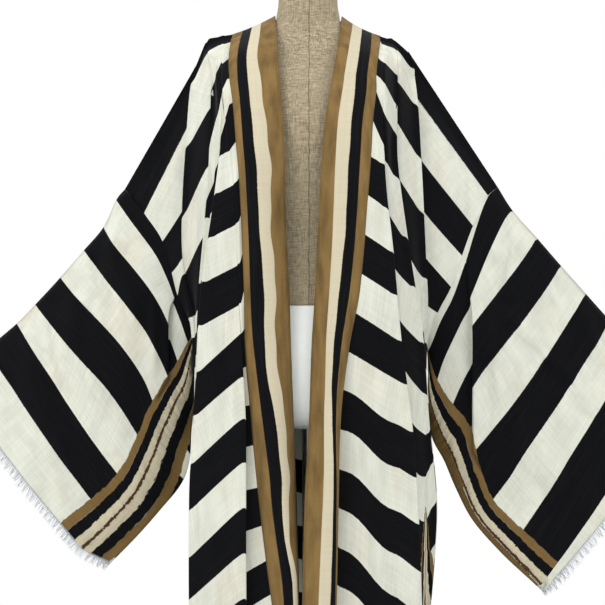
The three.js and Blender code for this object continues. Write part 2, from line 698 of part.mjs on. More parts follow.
function fringe(side) {
  const rings = sleeveRings[side];
  const cuff = rings[rings.length - 1];
  const before = rings[rings.length - 2];
  const ways = cuff.map((p, j) => p.clone().sub(before[j]).normalize());
  const off = (d) => cuff.map((p, j) => p.clone().addScaledVector(ways[j], d));
  const strip = [off(fringeGap), off(fringeStrip)];
  let body = toManifold(wall(strip, { closed: true, next: { top: before }, thickness: clothThickness }));
  let turn = 0;
  cuff.forEach((p, j) => {
    const q = cuff[(j + 1) % cuff.length];
    const count = Math.max(1, Math.round(p.distanceTo(q) / fringeSpacing));
    for (let k = 0; k < count; k += 1) {
      const w = (k + 0.5) / count;
      const way = ways[j].clone().lerp(ways[(j + 1) % cuff.length], w).normalize();
      const across = q.clone().sub(p).normalize();
      turn += 1;
      way.addScaledVector(across, 0.18 * Math.sin(turn * 2.4)).normalize();
      const root = p.clone().lerp(q, w).addScaledVector(way, fringeStrip - fringeRoot);
      const length = fringeLength * (0.85 + 0.15 * Math.sin(turn * 1.7));
      body = body.add(toManifold(strand(root, way, across, length)));
    }
  });
  return fromManifold(body.simplify(mergeDistance));
}

// ---------- the dress form ----------
function formRing(section) {
  return Array.from({ length: formSides }, (_, k) => {
    const angle = (k * 2 * Math.PI) / formSides;
    const depth = Math.sin(angle) < 0 ? section.front : section.back;
    return point(section.half * Math.cos(angle), depth * Math.sin(angle), section.z);
  });
}

function stackedSolid(sections) {
  const rings = sections.map(formRing);
  const points = rings.flat();
  const faces = [];
  for (let i = 0; i < rings.length - 1; i += 1) {
    for (let k = 0; k < formSides; k += 1) {
      const [a, b] = [i * formSides + k, i * formSides + ((k + 1) % formSides)];
      faces.push(a, b, b + formSides, a, b + formSides, a + formSides);
    }
  }
  for (const end of [0, rings.length - 1]) {
    const centre = points.length;
    points.push(point(0, (sections[end].back - sections[end].front) / 2, sections[end].z));
    for (let k = 0; k < formSides; k += 1) {
      const [a, b] = [end * formSides + k, end * formSides + ((k + 1) % formSides)];
      faces.push(...(end === 0 ? [centre, b, a] : [centre, a, b]));
    }
  }
  return solid(points, faces);
}

function lathe(profile, sides) {
  const shape = new THREE.LatheGeometry(profile.map(([r, z]) => new THREE.Vector2(r, z)), sides);
  shape.rotateX(Math.PI / 2);
  return shape;
}

function makeCap() {
  const z = formTorso[0].z + 0.3;
  return lathe([
    [0, z], [neckCap.radius, z], [neckCap.radius, z + 5], [neckCap.radius - 10, z + neckCap.height - 2],
    [neckCap.radius - 30, z + neckCap.height], [0, z + neckCap.height],
  ], 28);
}

function makeBase() {
  return lathe([
    [0, 0], [base.radius - 1, 0], [base.radius, 1], [base.radius, base.height - base.edge],
    [base.radius - base.edge, base.height], [0, base.height],
  ], 48);
}

function makePole() {
  const rod = new THREE.CylinderGeometry(pole.radius, pole.radius, pole.top - pole.foot, 20);
  rod.rotateX(Math.PI / 2);
  rod.translate(0, 0, (pole.top + pole.foot) / 2);
  return rod;
}

// ---------- the object ----------
const cloth = new THREE.MeshStandardMaterial({ color: 0xe3e4d6, roughness: 0.85, side: THREE.DoubleSide });
const bandCloth = new THREE.MeshStandardMaterial({ color: 0xa07f4e, roughness: 0.85 });
const fringeYarn = new THREE.MeshStandardMaterial({ color: 0xe9e6dc, roughness: 0.9 });
const linen = new THREE.MeshStandardMaterial({ color: 0xa8977b, roughness: 0.9 });
const hipShell = new THREE.MeshStandardMaterial({ color: 0xf4f6f2, roughness: 0.45 });
const steel = new THREE.MeshStandardMaterial({ color: 0xb9bcc0, roughness: 0.35, metalness: 1 });
const capWood = new THREE.MeshStandardMaterial({ color: 0x7a5a3c, roughness: 0.5 });

const kimono = new THREE.Group();
function add(name, geometry, material) {
  const mesh = new THREE.Mesh(geometry, material);
  mesh.name = name;
  kimono.add(mesh);
}

const column = (grid, j) => grid.map((row) => row.at(j));

// What the front or back of a side runs on to past its outer edge: the sleeve down to the underarm,
// then the other half of the body.
function pastOuterEdge(side, sleeveHalf, otherHalf) {
  return [...sleeveHalf, ...column(otherHalf[side], -2).slice(armRows + 1)];
}
const backOf = (ring) => [ring[0], ...ring.slice(armRows).reverse()];

// The row that a wall would run on to if it went straight over the shoulder seam.
const overSeam = (grid) => grid[0].map((p, j) => point(grid[1][j].x, 2 * p.y - grid[1][j].y, grid[1][j].z));

for (const side of ['left', 'right']) {
  const rings = sleeveRings[side];
  add(`front_${side}`, wall(frontGrid[side], {
    next: {
      top: overSeam(frontGrid[side]),
      start: column(bandSides[side], 1),
      end: pastOuterEdge(side, rings[1].slice(0, armRows + 1), backHalf),
    },
  }), cloth);
  add(`sleeve_${side}`, wall(rings, {
    closed: true,
    next: {
      top: [
        ...column(frontGrid[side], -2).slice(0, armRows + 1),
        ...column(backHalf[side], -2).slice(1, armRows).reverse(),
      ],
    },
  }), cloth);
  add(`fringe_${side}`, fringe(side), fringeYarn);
}
const halfCount = { left: backHalf.left[0].length, right: backHalf.right[0].length };
const neckSections = bandGrid.slice(frontGrid.left.length - 1, bandGrid.length - frontGrid.right.length + 1);
add('back', wall(backGrid, {
  next: {
    top: [
      ...overSeam(backGrid).slice(0, halfCount.left - 1),
      ...column(neckSections, 1),
      ...overSeam(backGrid).slice(1 - halfCount.right),
    ],
    start: pastOuterEdge('left', backOf(sleeveRings.left[1]), frontGrid),
    end: pastOuterEdge('right', backOf(sleeveRings.right[1]), frontGrid),
  },
}), cloth);
add('collar_band', wall(bandGrid, {
  next: {
    start: [
      ...column(frontGrid.left, 1).reverse(),
      ...backCentre(1),
      ...column(frontGrid.right, 1),
    ],
  },
}), bandCloth);
add('form_torso', stackedSolid(formTorso), linen);
add('form_hip', stackedSolid(formHip), hipShell);
add('form_neck_cap', makeCap(), capWood);
add('stand_pole', makePole(), steel);
add('stand_base', makeBase(), steel);

export default kimono;
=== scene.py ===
# An open striped beach kimono with fringed sleeves, worn by a linen-covered dress form.
# The tables are in millimetres and the meshes are made in metres.
import math
import random
import bpy
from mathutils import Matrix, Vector, noise


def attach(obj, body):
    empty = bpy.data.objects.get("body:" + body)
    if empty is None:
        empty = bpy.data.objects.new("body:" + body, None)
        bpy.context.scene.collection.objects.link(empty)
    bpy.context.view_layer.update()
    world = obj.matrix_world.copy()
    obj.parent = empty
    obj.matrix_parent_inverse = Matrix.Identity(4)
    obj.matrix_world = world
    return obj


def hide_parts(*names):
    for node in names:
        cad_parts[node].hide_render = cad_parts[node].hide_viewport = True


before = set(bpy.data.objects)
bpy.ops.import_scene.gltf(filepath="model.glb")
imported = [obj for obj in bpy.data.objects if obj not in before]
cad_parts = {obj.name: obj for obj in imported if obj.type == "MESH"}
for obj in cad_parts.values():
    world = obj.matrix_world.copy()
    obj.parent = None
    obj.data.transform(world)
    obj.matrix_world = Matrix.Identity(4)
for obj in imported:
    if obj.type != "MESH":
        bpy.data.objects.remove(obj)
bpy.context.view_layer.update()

random.seed(7)
mm = 0.001
sides = ("left", "right")  # the wearer's left is +X
sideSign = {"left": 1, "right": -1}


def mix(a, b, w):
    return a + (b - a) * w


def clamp01(w):
    return min(1, max(0, w))


def ease(w):
    w = clamp01(w)
    return w * w * (3 - 2 * w)


def table(names, *rows):
    keys = names.split()
    return [dict(zip(keys, row)) for row in rows]


# Reads a table at a value of one column; the other columns run smoothly through the rows.
def readTable(rows, key, value):
    falling = rows[0][key] > rows[-1][key]
    last = len(rows) - 1
    after = last + 1
    for i, row in enumerate(rows):
        if (row[key] <= value) if falling else (row[key] >= value):
            after = i
            break
    if after == 0 or after > last:
        return dict(rows[min(after, last)])
    r0, r1, r2, r3 = (rows[min(last, max(0, i))] for i in range(after - 2, after + 2))
    span = r2[key] - r1[key]
    w = (value - r1[key]) / span
    w2 = w * w
    w3 = w2 * w
    out = {}
    for name in r1:
        straight = r2[name] - r1[name]
        m1 = straight if r1 is r0 else (r2[name] - r0[name]) / (r2[key] - r0[key]) * span
        m2 = straight if r3 is r2 else (r3[name] - r1[name]) / (r3[key] - r1[key]) * span
        out[name] = ((2 * w3 - 3 * w2 + 1) * r1[name] + (w3 - 2 * w2 + w) * m1
                     + (3 * w2 - 2 * w3) * r2[name] + (w3 - w2) * m2)
    return out


def catmull(a, b, c, d, w):
    return [0.5 * (2 * q + (r - p) * w + (2 * p - 5 * q + 4 * r - s) * w * w
                   + (3 * q - p - 3 * r + s) * w * w * w) for p, q, r, s in zip(a, b, c, d)]


# How far a point lies from a line of points, and how far along that line, from 0 to 1.
def offLine(x, z, line):
    best = (1e9, 0)
    for k in range(len(line) - 1):
        ax, az = line[k]
        bx, bz = line[k + 1]
        dx, dz = bx - ax, bz - az
        w = clamp01(((x - ax) * dx + (z - az) * dz) / (dx * dx + dz * dz))
        d = math.hypot(x - ax - dx * w, z - az - dz * w)
        if d < best[0]:
            best = (d, (k + w) / (len(line) - 1))
    return best


# Soft ridges (height over 0) and troughs: each is a width, a height and a line in x and z.
def creaseHeight(creases, x, z):
    total = 0
    for width, height, *line in creases:
        reach = 3 * width
        if not min(p[0] for p in line) - reach < x < max(p[0] for p in line) + reach:
            continue
        if not min(p[1] for p in line) - reach < z < max(p[1] for p in line) + reach:
            continue
        d, w = offLine(x, z, line)
        fade = ease(w * 5) * ease((1 - w) * 2.5)  # quick to rise, slow to die away
        total += height * fade * math.exp(-(d / width) ** 2)
    return total


# Puts a mesh in the scene from points in millimetres and faces.
def meshObject(name, points, faces, material):
    mesh = bpy.data.meshes.new(name)
    mesh.from_pydata([[c * mm for c in p] for p in points], [], faces)
    mesh.polygons.foreach_set("use_smooth", [True] * len(mesh.polygons))
    mesh.materials.append(material)
    obj = bpy.data.objects.new(name, mesh)
    bpy.context.scene.collection.objects.link(obj)
    return obj


# Makes a sheet from a grid of points, with its UV maps given per point.
def gridObject(name, grid, maps, material):
    rows, cols = len(grid), len(grid[0])
    faces = []
    for i in range(rows - 1):
        for j in range(cols - 1):
            a = i * cols + j
            faces.append((a, a + 1, a + 1 + cols, a + cols))
    obj = meshObject(name, [p for row in grid for p in row], faces, material)
    mesh = obj.data
    for mapName, values in maps.items():
        flat = [v for row in values for v in row]
        layer = mesh.uv_layers.new(name=mapName)
        for loop in mesh.loops:
            layer.data[loop.index].uv = flat[loop.vertex_index]
    return obj


# Every piece moves with the one body and stands for its node, whose part is hidden.
def standFor(piece, node):
    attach(piece, "root")
    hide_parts(node)


# The camera is level and straight in front; the shift sets the garment's axis a little off the middle.
view = {"distance": 2500, "height": 983, "widthPx": 605, "mmPerPx": 1.95, "axisPx": 308}


def makeCamera():
    data = bpy.data.cameras.new("camera")
    width = view["widthPx"] * view["mmPerPx"]
    data.angle = 2 * math.atan(width / 2 / view["distance"])
    data.shift_x = (view["widthPx"] / 2 - view["axisPx"]) / view["widthPx"]
    camera = bpy.data.objects.new("camera", data)
    camera.location = (0, -view["distance"] * mm, view["height"] * mm)
    camera.rotation_euler = (math.radians(90), 0, 0)
    bpy.context.scene.collection.objects.link(camera)
    bpy.context.scene.camera = camera


makeCamera()
bpy.context.scene.view_settings.view_transform = "Standard"  # plain colours, with no film curve
print("camera set")


# sRGB hex to the linear colour that a shader wants
def hexColour(text):
    parts = [int(text[i:i + 2], 16) / 255 for i in (0, 2, 4)]
    linear = [c / 12.92 if c <= 0.04045 else ((c + 0.055) / 1.055) ** 2.4 for c in parts]
    return (*linear, 1.0)


# Adds a node with its settings; an input is a value, a hex colour or another node's output.
def addNode(tree, kind, inputs, output=0, **settings):
    node = tree.nodes.new("ShaderNode" + kind)
    for key, value in settings.items():
        setattr(node, key, value)
    for key, value in inputs.items() if isinstance(inputs, dict) else enumerate(inputs):
        if isinstance(value, bpy.types.NodeSocket):
            tree.links.new(value, node.inputs[key])
        else:
            node.inputs[key].default_value = hexColour(value) if isinstance(value, str) else value
    return node.outputs[output]


# A new material; the values that are the same all over it are set on the shader's own sockets.
def startMaterial(name, values):
    material = bpy.data.materials.new(name)
    material.use_nodes = True
    tree = material.node_tree
    shader = tree.nodes["Principled BSDF"]
    for socket, value in values.items():
        shader.inputs[socket].default_value = value
    return material, tree, shader


# Leads the colour and, where there is one, the relief to the shader; depth is in metres.
def finishMaterial(tree, shader, colour, height=None, strength=0, depth=0):
    tree.links.new(colour, shader.inputs["Base Color"])
    if height:
        bump = addNode(tree, "Bump", {"Height": height, "Strength": strength, "Distance": depth})
        tree.links.new(bump, shader.inputs["Normal"])


cloth = {
    "stripe": 70,  # one woven stripe along the warp
    "firstStripe": 45,  # how much of the first black stripe lies over the shoulder line
    "stripeEdge": 22,  # how sharply one stripe turns into the next
    "ivory": "D2D4C7",
    "ivoryWarm": "D2C8B4",
    "black": "07080B",
    "blackThin": "101012",
    "gold": "82683F",
    "goldDeep": "64502F",
    "cream": "C3BAA1",
    "seamShadow": "4A3520",
    "stitch": "54401F",
    "threadMm": 1.1,  # the real voile has a thread about every 0.5 mm; drawn coarser so that it shows
    "slubMm": 3.2,
    "slubRun": (34, 30),  # how many times longer than thick a slub is, weft and warp
    "bandParts": (0, 16, 40, 64, 94),  # gold, black, cream, gold
    "stitchMm": 2.6,
    "stitchRow": (4.6, 3.0),  # from the band's inner edge
    "finish": {
        "Roughness": 0.82, "Specular IOR Level": 0.08, "Sheen Weight": 0.03, "Sheen Roughness": 0.5,
    },
    "bandFinish": {"Roughness": 0.8, "Specular IOR Level": 0.08, "Sheen Weight": 0.03},
}


# Where a point lies on the flat cloth, in millimetres across and along it.
def clothPlace(tree):
    uv = addNode(tree, "UVMap", (), uv_map="cloth")
    place = addNode(tree, "SeparateXYZ", (uv,)).node.outputs
    return [addNode(tree, "Math", (place[k], 1000), operation="MULTIPLY") for k in (0, 1)]


# How the threads lie: fine lines both ways, with longer slubs.
def weaveNodes(tree, u, v):
    slub = {"Scale": 1 / cloth["slubMm"], "Detail": 3.0}
    weftRun, warpRun = cloth["slubRun"]
    shortU = addNode(tree, "Math", (u, weftRun), operation="DIVIDE")
    shortV = addNode(tree, "Math", (v, warpRun), operation="DIVIDE")
    weft = addNode(tree, "TexNoise", {"Vector": addNode(tree, "CombineXYZ", (shortU, v, 0.0)), **slub})
    warp = addNode(tree, "TexNoise", {"Vector": addNode(tree, "CombineXYZ", (u, shortV, 5.0)), **slub})
    lines = []
    for place in (u, v):
        turn = addNode(tree, "Math", (place, math.pi / cloth["threadMm"]), operation="MULTIPLY")
        lines.append(addNode(tree, "Math", (turn,), operation="SINE"))
    plain = addNode(tree, "Math", lines, operation="MULTIPLY")
    slubs = addNode(tree, "Math", (weft, warp), operation="ADD")
    height = addNode(tree, "Math", (plain, 0.25, slubs), operation="MULTIPLY_ADD")
    return weft, warp, height


# 1 between two values of a coordinate, with an edge as soft as a thread.
def between(tree, x, low, high, soft):
    rise = addNode(tree, "MapRange", (x, low - soft, low + soft))
    fall = addNode(tree, "MapRange", (x, high - soft, high + soft))
    return addNode(tree, "Math", (rise, fall), operation="SUBTRACT")


# The same value, moved to and fro by a noise around its middle.
def wander(tree, value, noiseOut, size):
    off = addNode(tree, "Math", (noiseOut, 0.5), operation="SUBTRACT")
    return addNode(tree, "Math", (off, size, value), operation="MULTIPLY_ADD")


# Cotton voile, woven in broad stripes: matt, thin, with a dry slubby line both ways and a faint sheen.
def stripedVoile():
    material, tree, shader = startMaterial("stripedCottonVoile", cloth["finish"])
    u, v = clothPlace(tree)
    weft, warp, height = weaveNodes(tree, u, v)
    phase = addNode(tree, "Math", (v, cloth["firstStripe"]), operation="ADD")
    phase = wander(tree, phase, warp, 1.6)
    turn = addNode(tree, "Math", (phase, math.pi / cloth["stripe"]), operation="MULTIPLY")
    wave = addNode(tree, "Math", (turn,), operation="SINE")
    dark = addNode(tree, "Math", (wave, cloth["stripeEdge"], 0.5), operation="MULTIPLY_ADD", use_clamp=True)

    warm = addNode(tree, "TexNoise", {"Scale": 5.0, "Detail": 1.0})
    warm = addNode(tree, "MapRange", (warm, 0.5, 0.72, 0.0, 0.4))
    ivory = addNode(tree, "Mix", {0: warm, 6: cloth["ivory"], 7: cloth["ivoryWarm"]}, 2, data_type="RGBA")
    thin = addNode(tree, "MapRange", (weft, 0.45, 0.75))
    black = addNode(tree, "Mix", {0: thin, 6: cloth["black"], 7: cloth["blackThin"]}, 2, data_type="RGBA")
    colour = addNode(tree, "Mix", {0: dark, 6: ivory, 7: black}, 2, data_type="RGBA")

    # the woven border: gold, black, cream, laid on by its own coordinate
    edge = addNode(tree, "UVMap", (), uv_map="border")
    parts = addNode(tree, "SeparateXYZ", (edge,)).node.outputs
    sway = addNode(tree, "TexNoise", {"Scale": 38.0, "Detail": 3.0})
    b = wander(tree, parts[0], sway, 0.16)
    endMm = addNode(tree, "Math", (parts[1], 1000), operation="MULTIPLY")
    limit = addNode(tree, "Math", (v, endMm), operation="LESS_THAN")
    gold = addNode(tree, "Mix", {0: weft, 6: cloth["gold"], 7: cloth["goldDeep"]}, 2, data_type="RGBA")
    for low, high, paint in (
        (0.0, 0.32, gold),
        (0.32, 0.67, black),
        (0.67, 1.05, cloth["cream"]),
        (1.05, 3.0, gold),
        (0.95, 1.07, cloth["seamShadow"]),
    ):
        strip = between(tree, b, low, high, 0.012)
        mask = addNode(tree, "Math", (strip, limit), operation="MULTIPLY")
        colour = addNode(tree, "Mix", {0: mask, 6: colour, 7: paint}, 2, data_type="RGBA")

    # painted shade: the colour is darkened in the weave's hollows and in soft random patches, for the shade
    # of the cloth's small unevenness
    shade = addNode(tree, "MapRange", (height, 0.6, 1.5, 0.86, 1.08))
    mottledShade = addNode(tree, "TexNoise", {"Scale": 13.0, "Detail": 3.0})
    mottledShade = addNode(tree, "MapRange", (mottledShade, 0.3, 0.62, 0.86, 1.0))
    shade = addNode(tree, "Math", (shade, mottledShade), operation="MULTIPLY")
    colour = addNode(tree, "Mix", {0: 1.0, 6: colour, 7: shade}, 2, data_type="RGBA", blend_type="MULTIPLY")
    finishMaterial(tree, shader, colour, height, 0.35, 0.0006)
    return material


# The same voile along the selvedge, folded double for the front band, with a row of lockstitch.
def bandVoile():
    material, tree, shader = startMaterial("bandCottonVoile", cloth["bandFinish"])
    u, v = clothPlace(tree)
    weft, warp, height = weaveNodes(tree, u, v)
    jag = wander(tree, u, weft, 1.4)
    # painted shade: the gold darkens in soft random patches, for the shade of the band's small creases
    tone = addNode(tree, "TexNoise", {"Scale": 16.0, "Detail": 3.0})
    tone = addNode(tree, "MapRange", (tone, 0.38, 0.72))
    gold = addNode(tree, "Mix", {0: tone, 6: cloth["gold"], 7: cloth["goldDeep"]}, 2, data_type="RGBA")
    thin = addNode(tree, "MapRange", (warp, 0.45, 0.75))
    black = addNode(tree, "Mix", {0: thin, 6: cloth["black"], 7: cloth["blackThin"]}, 2, data_type="RGBA")
    _, first, second, third, width = cloth["bandParts"]
    middle = between(tree, jag, first, second, 0.6)
    colour = addNode(tree, "Mix", {0: middle, 6: gold, 7: black}, 2, data_type="RGBA")
    inner = between(tree, jag, second, third, 0.6)
    colour = addNode(tree, "Mix", {0: inner, 6: colour, 7: cloth["cream"]}, 2, data_type="RGBA")
    row = between(tree, u, width - cloth["stitchRow"][0], width - cloth["stitchRow"][1], 0.4)
    turn = addNode(tree, "Math", (v, math.pi / cloth["stitchMm"]), operation="MULTIPLY")
    wave = addNode(tree, "Math", (turn,), operation="SINE")
    dash = addNode(tree, "Math", (wave, -0.2), operation="GREATER_THAN")
    stitch = addNode(tree, "Math", (row, dash), operation="MULTIPLY")
    faint = addNode(tree, "Math", (stitch, 0.55), operation="MULTIPLY")
    colour = addNode(tree, "Mix", {0: faint, 6: colour, 7: cloth["stitch"]}, 2, data_type="RGBA")
    shade = addNode(tree, "MapRange", (height, 0.6, 1.5, 0.92, 1.05))
    colour = addNode(tree, "Mix", {0: 1.0, 6: colour, 7: shade}, 2, data_type="RGBA", blend_type="MULTIPLY")
    low = addNode(tree, "Math", (stitch, -1.2, height), operation="MULTIPLY_ADD")
    finishMaterial(tree, shader, colour, low, 0.4, 0.0007)
    return material


# Loose cotton yarn ends: off-white, dry, each strand a little different.
def fringeYarn():
    look = {"Roughness": 0.9, "Specular IOR Level": 0.2, "Sheen Weight": 0.2}
    material, tree, shader = startMaterial("looseCottonYarn", look)
    tone = addNode(tree, "TexNoise", {"Scale": 160.0, "Detail": 2.0})
    colour = addNode(tree, "Mix", {0: tone, 6: "CDD2D7", 7: "8F98A1"}, 2, data_type="RGBA")
    finishMaterial(tree, shader, colour)
    return material


linenLook = {
    "thread": "998C72", "deep": "62563F", "pale": "C2B69B", "seam": "3A3223",
    "threadMm": 2.1,  # the real threads are about 0.7 mm apart; drawn coarser so that they show
    "threadRun": (0.16, 0.12),  # thickness over length, level and upright
    "seamFrom": 0.0012, "seamTo": 0.0030,
}


# Unbleached linen glued over the form: an open slubby plain weave, dry and uneven in tone.
def formLinen():
    look = {"Roughness": 0.9, "Specular IOR Level": 0.2, "Sheen Weight": 0.1}
    material, tree, shader = startMaterial("wovenLinen", look)
    place = addNode(tree, "TexCoord", (), 3)
    flat, tall = linenLook["threadRun"]
    thread = {"Scale": 1 / (linenLook["threadMm"] * mm), "Detail": 2.0}
    level = addNode(tree, "Mapping", {"Vector": place, "Scale": (flat, flat, 1.0)})
    upright = addNode(tree, "Mapping", {"Vector": place, "Scale": (1.0, 1.0, tall)})
    weft = addNode(tree, "TexNoise", {"Vector": level, **thread})
    warp = addNode(tree, "TexNoise", {"Vector": upright, **thread})
    threads = addNode(tree, "Math", (weft, warp), operation="MULTIPLY")
    tone = addNode(tree, "MapRange", (threads, 0.12, 0.42))
    colour = addNode(tree, "Mix", {0: tone, 6: linenLook["deep"], 7: linenLook["pale"]}, 2, data_type="RGBA")
    cloud = addNode(tree, "TexNoise", {"Vector": place, "Scale": 9.0, "Detail": 3.0})
    cloud = addNode(tree, "MapRange", (cloud, 0.3, 0.7, 0.25, 0.65))
    colour = addNode(tree, "Mix", {0: cloud, 6: colour, 7: linenLook["thread"]}, 2, data_type="RGBA")

    # the dark irregular join down the middle of the front
    axes = addNode(tree, "SeparateXYZ", (place,)).node.outputs
    drift = addNode(tree, "TexNoise", {"Vector": place, "Scale": 26.0, "Detail": 2.0})
    line = wander(tree, axes[0], drift, 0.006)
    seam = between(tree, line, linenLook["seamFrom"], linenLook["seamTo"], 0.0005)
    onFront = addNode(tree, "Math", (axes[1], 0.0), operation="LESS_THAN")
    broken = addNode(tree, "MapRange", (warp, 0.35, 0.6, 0.2, 0.9))
    seam = addNode(tree, "Math", (seam, onFront), operation="MULTIPLY")
    seam = addNode(tree, "Math", (seam, broken), operation="MULTIPLY")
    colour = addNode(tree, "Mix", {0: seam, 6: colour, 7: linenLook["seam"]}, 2, data_type="RGBA")
    finishMaterial(tree, shader, colour, threads, 0.6, 0.0012)
    return material


# Moulded white ABS shell: smooth, a soft gloss, with a barely uneven skin.
def hipShell():
    material, tree, shader = startMaterial("mouldedWhiteAbs", {"Roughness": 0.38, "IOR": 1.53})
    place = addNode(tree, "TexCoord", (), 3)
    skin = addNode(tree, "TexNoise", {"Vector": place, "Scale": 60.0, "Detail": 2.0})
    colour = addNode(tree, "Mix", {0: skin, 6: "F7FAF5", 7: "EDF1EC"}, 2, data_type="RGBA")
    finishMaterial(tree, shader, colour, skin, 0.1, 0.001)
    return material


# Turned beech under clear varnish: rings of grain round the knob and a gloss over them.
def varnishedBeech():
    look = {"Roughness": 0.45, "Coat Weight": 0.5, "Coat Roughness": 0.15}
    material, tree, shader = startMaterial("varnishedBeech", look)
    place = addNode(tree, "TexCoord", (), 3)
    stretch = addNode(tree, "Mapping", {"Vector": place, "Scale": (1.0, 0.12, 1.0)})
    grain = addNode(tree, "TexNoise", {"Vector": stretch, "Scale": 320.0, "Detail": 4.0})
    colour = addNode(tree, "Mix", {0: grain, 6: "8A6238", 7: "5E3F22"}, 2, data_type="RGBA")
    finishMaterial(tree, shader, colour)
    return material


# Brushed stainless steel: fine lines round the part that draw the highlight out.
def brushedSteel():
    material, tree, shader = startMaterial("brushedSteel", {"Metallic": 1.0})
    place = addNode(tree, "TexCoord", (), 3)
    lines = addNode(tree, "Mapping", {"Vector": place, "Scale": (0.3, 0.3, 40.0)})
    brush = addNode(tree, "TexNoise", {"Vector": lines, "Scale": 60.0, "Detail": 3.0})
    rough = addNode(tree, "MapRange", (brush, 0.3, 0.7, 0.26, 0.42))
    tree.links.new(rough, shader.inputs["Roughness"])
    colour = addNode(tree, "Mix", {0: brush, 6: "C3C6CA", 7: "A8ABB0"}, 2, data_type="RGBA")
    finishMaterial(tree, shader, colour)
    return material


looks = {
    "striped_voile": stripedVoile(),
    "band_voile": bandVoile(),
    "fringe_yarn": fringeYarn(),
    "form_linen": formLinen(),
    "form_shell": hipShell(),
    "cap_wood": varnishedBeech(),
    "stand_steel": brushedSteel(),
}
print("materials made:", len(looks))


cut = {
    "length": 1240,  # shoulder line to hem
    "underarm": {"left": 375, "right": 345},  # from the shoulder line, along the armhole
    "rows": (45, 108),  # rows of points down to the underarm and below it
    "stretchSteps": 12,  # points on a stretch of a row between folds
    "foldSteps": 6,
    "padFlat": 5,  # how far a fold's points stand apart where it is flat and where it is whole
    "padWhole": 12,
    "foldHidden": 24,
    "foldStep": 21,
    "shoulderFade": 160,
    "settle": 30,  # how far down the cloth takes to leave the line of the shoulder seam
    "neckEase": 60,
    "backEase": 70,
    "foldsGrown": 36,
    "foldPasses": 5,  # a row's folds and its heights depend on each other, so they are found in turns
    "wholeGain": 1.6,  # a fold hides its full stretch of cloth a little before it is at full depth
    "crestRound": 0.5,  # how much later the weft turns down where it comes to a crest
}

# The panel's inner edge, which is also the band's outer edge, from the shoulder line down.
bandEdge = {
    "left": table(
        "t x y z",
        (0, 141, 12, 1505), (25, 140, -16, 1490), (95, 133, -70, 1447), (165, 128, -98, 1409),
        (235, 127, -114, 1376), (305, 120, -130, 1319), (375, 116, -138, 1252), (608, 96, -140, 1012),
        (716, 76, -134, 901), (855, 59, -122, 758), (994, 54, -112, 614), (1240, 50, -104, 361),
    ),
    "right": table(
        "t x y z",
        (0, 148, 12, 1508), (25, 149, -16, 1492), (95, 150, -70, 1449), (165, 147, -98, 1402),
        (235, 140, -114, 1355), (305, 133, -132, 1280), (375, 127, -139, 1213), (585, 118, -142, 1004),
        (689, 116, -138, 901), (832, 104.5, -131, 755), (977, 89, -123, 596), (1240, 58, -112, 354),
    ),
}

# The panel's outer edge: the armhole, then the side seam from the underarm down.
outerEdge = {
    "left": table(
        "t x y z",
        (0, 370, 0, 1208), (25, 349, 14, 1190), (95, 319, 22, 1131), (165, 297, 26, 1073),
        (235, 276, 26, 1013), (305, 251, 20, 963), (345, 237, 10, 920), (375, 232, 1.4, 892),
        (800, 229, 1.4, 500), (1240, 214, 1.4, 96),
    ),
    "right": table(
        "t x y z",
        (0, 357, 0, 1204), (25, 318, 14, 1156), (95, 281, 22, 1101), (165, 263, 26, 1040),
        (235, 252, 24, 997), (305, 232, 14, 950), (345, 221, 1.4, 928), (700, 212, 1.4, 600),
        (1240, 200, 1.4, 100),
    ),
}

# The heights at which a row of cloth goes into each fold and comes out of it, from the band outward.
foldHeights = {
    "left": table(
        "t in0 out0 in1 out1 in2 out2",
        (0, 1502, 1501, 1497, 1495, 1464, 1458), (25, 1482, 1482, 1480, 1462, 1440, 1364),
        (95, 1437, 1435, 1427, 1388, 1351, 1254), (165, 1399, 1391, 1368, 1304, 1248, 1155),
        (235, 1350, 1335, 1288, 1210, 1145, 1066), (305, 1283, 1237, 1203, 1059, 1024, 973),
        (375, 1232, 1142, 1093, 928, 915, 905), (445, 1146, 1043, 1004, 855, 845, 838),
        (515, 1067, 949, 900, 790, 780, 772), (585, 988, 854, 803, 722, 714, 706),
        (655, 904, 760, 725, 655, 648, 640), (725, 824, 667, 647, 590, 584, 577),
        (795, 737, 580, 562, 524, 518, 511), (865, 652, 497, 485, 456, 450, 445),
        (935, 565, 428, 416, 392, 386, 381), (1005, 476, 358, 346, 328, 321, 316),
        (1075, 390, 290, 280, 262, 256, 251), (1240, 225, 150, 140, 118, 108, 100),
    ),
    "right": table(
        "t in0 out0 in1 out1 in2 out2 in3 out3",
        (0, 1507, 1506, 1504, 1503, 1497, 1486, 1442, 1434),
        (25, 1488, 1487, 1484, 1482, 1475, 1456, 1405, 1312),
        (95, 1443, 1441, 1432, 1422, 1384, 1344, 1269, 1156),
        (165, 1392, 1390, 1374, 1350, 1264, 1236, 1137, 1060),
        (235, 1337, 1337, 1303, 1238, 1165, 1103, 1041, 1036),
        (305, 1268, 1268, 1246, 1150, 1133, 965, 958, 954),
        (375, 1202, 1202, 1174, 1024, 1015, 925, 920, 915),
        (445, 1128, 1128, 1093, 936, 879, 860, 852, 845),
        (515, 1053, 1053, 1012, 840, 820, 800, 792, 784),
        (585, 981, 978, 932, 754, 740, 730, 722, 714),
        (655, 928, 920, 844, 668, 660, 655, 650, 645),
        (725, 861, 842, 764, 610, 600, 595, 588, 582),
        (795, 789, 765, 674, 540, 532, 528, 522, 517),
        (865, 712, 684, 589, 474, 466, 460, 456, 452),
        (935, 632, 600, 501, 402, 396, 392, 388, 385),
        (1005, 554, 516, 423, 336, 330, 327, 323, 321),
        (1075, 475, 432, 345, 270, 264, 261, 258, 256),
        (1240, 312, 282, 222, 132, 124, 118, 112, 106),
    ),
}

# On the back a row falls evenly along its length, but lies flat over the shoulder first.
shoulderFall = table("f g", (0, 0), (0.2, 0.035), (0.38, 0.29), (0.55, 0.52), (0.79, 0.81), (1, 1))

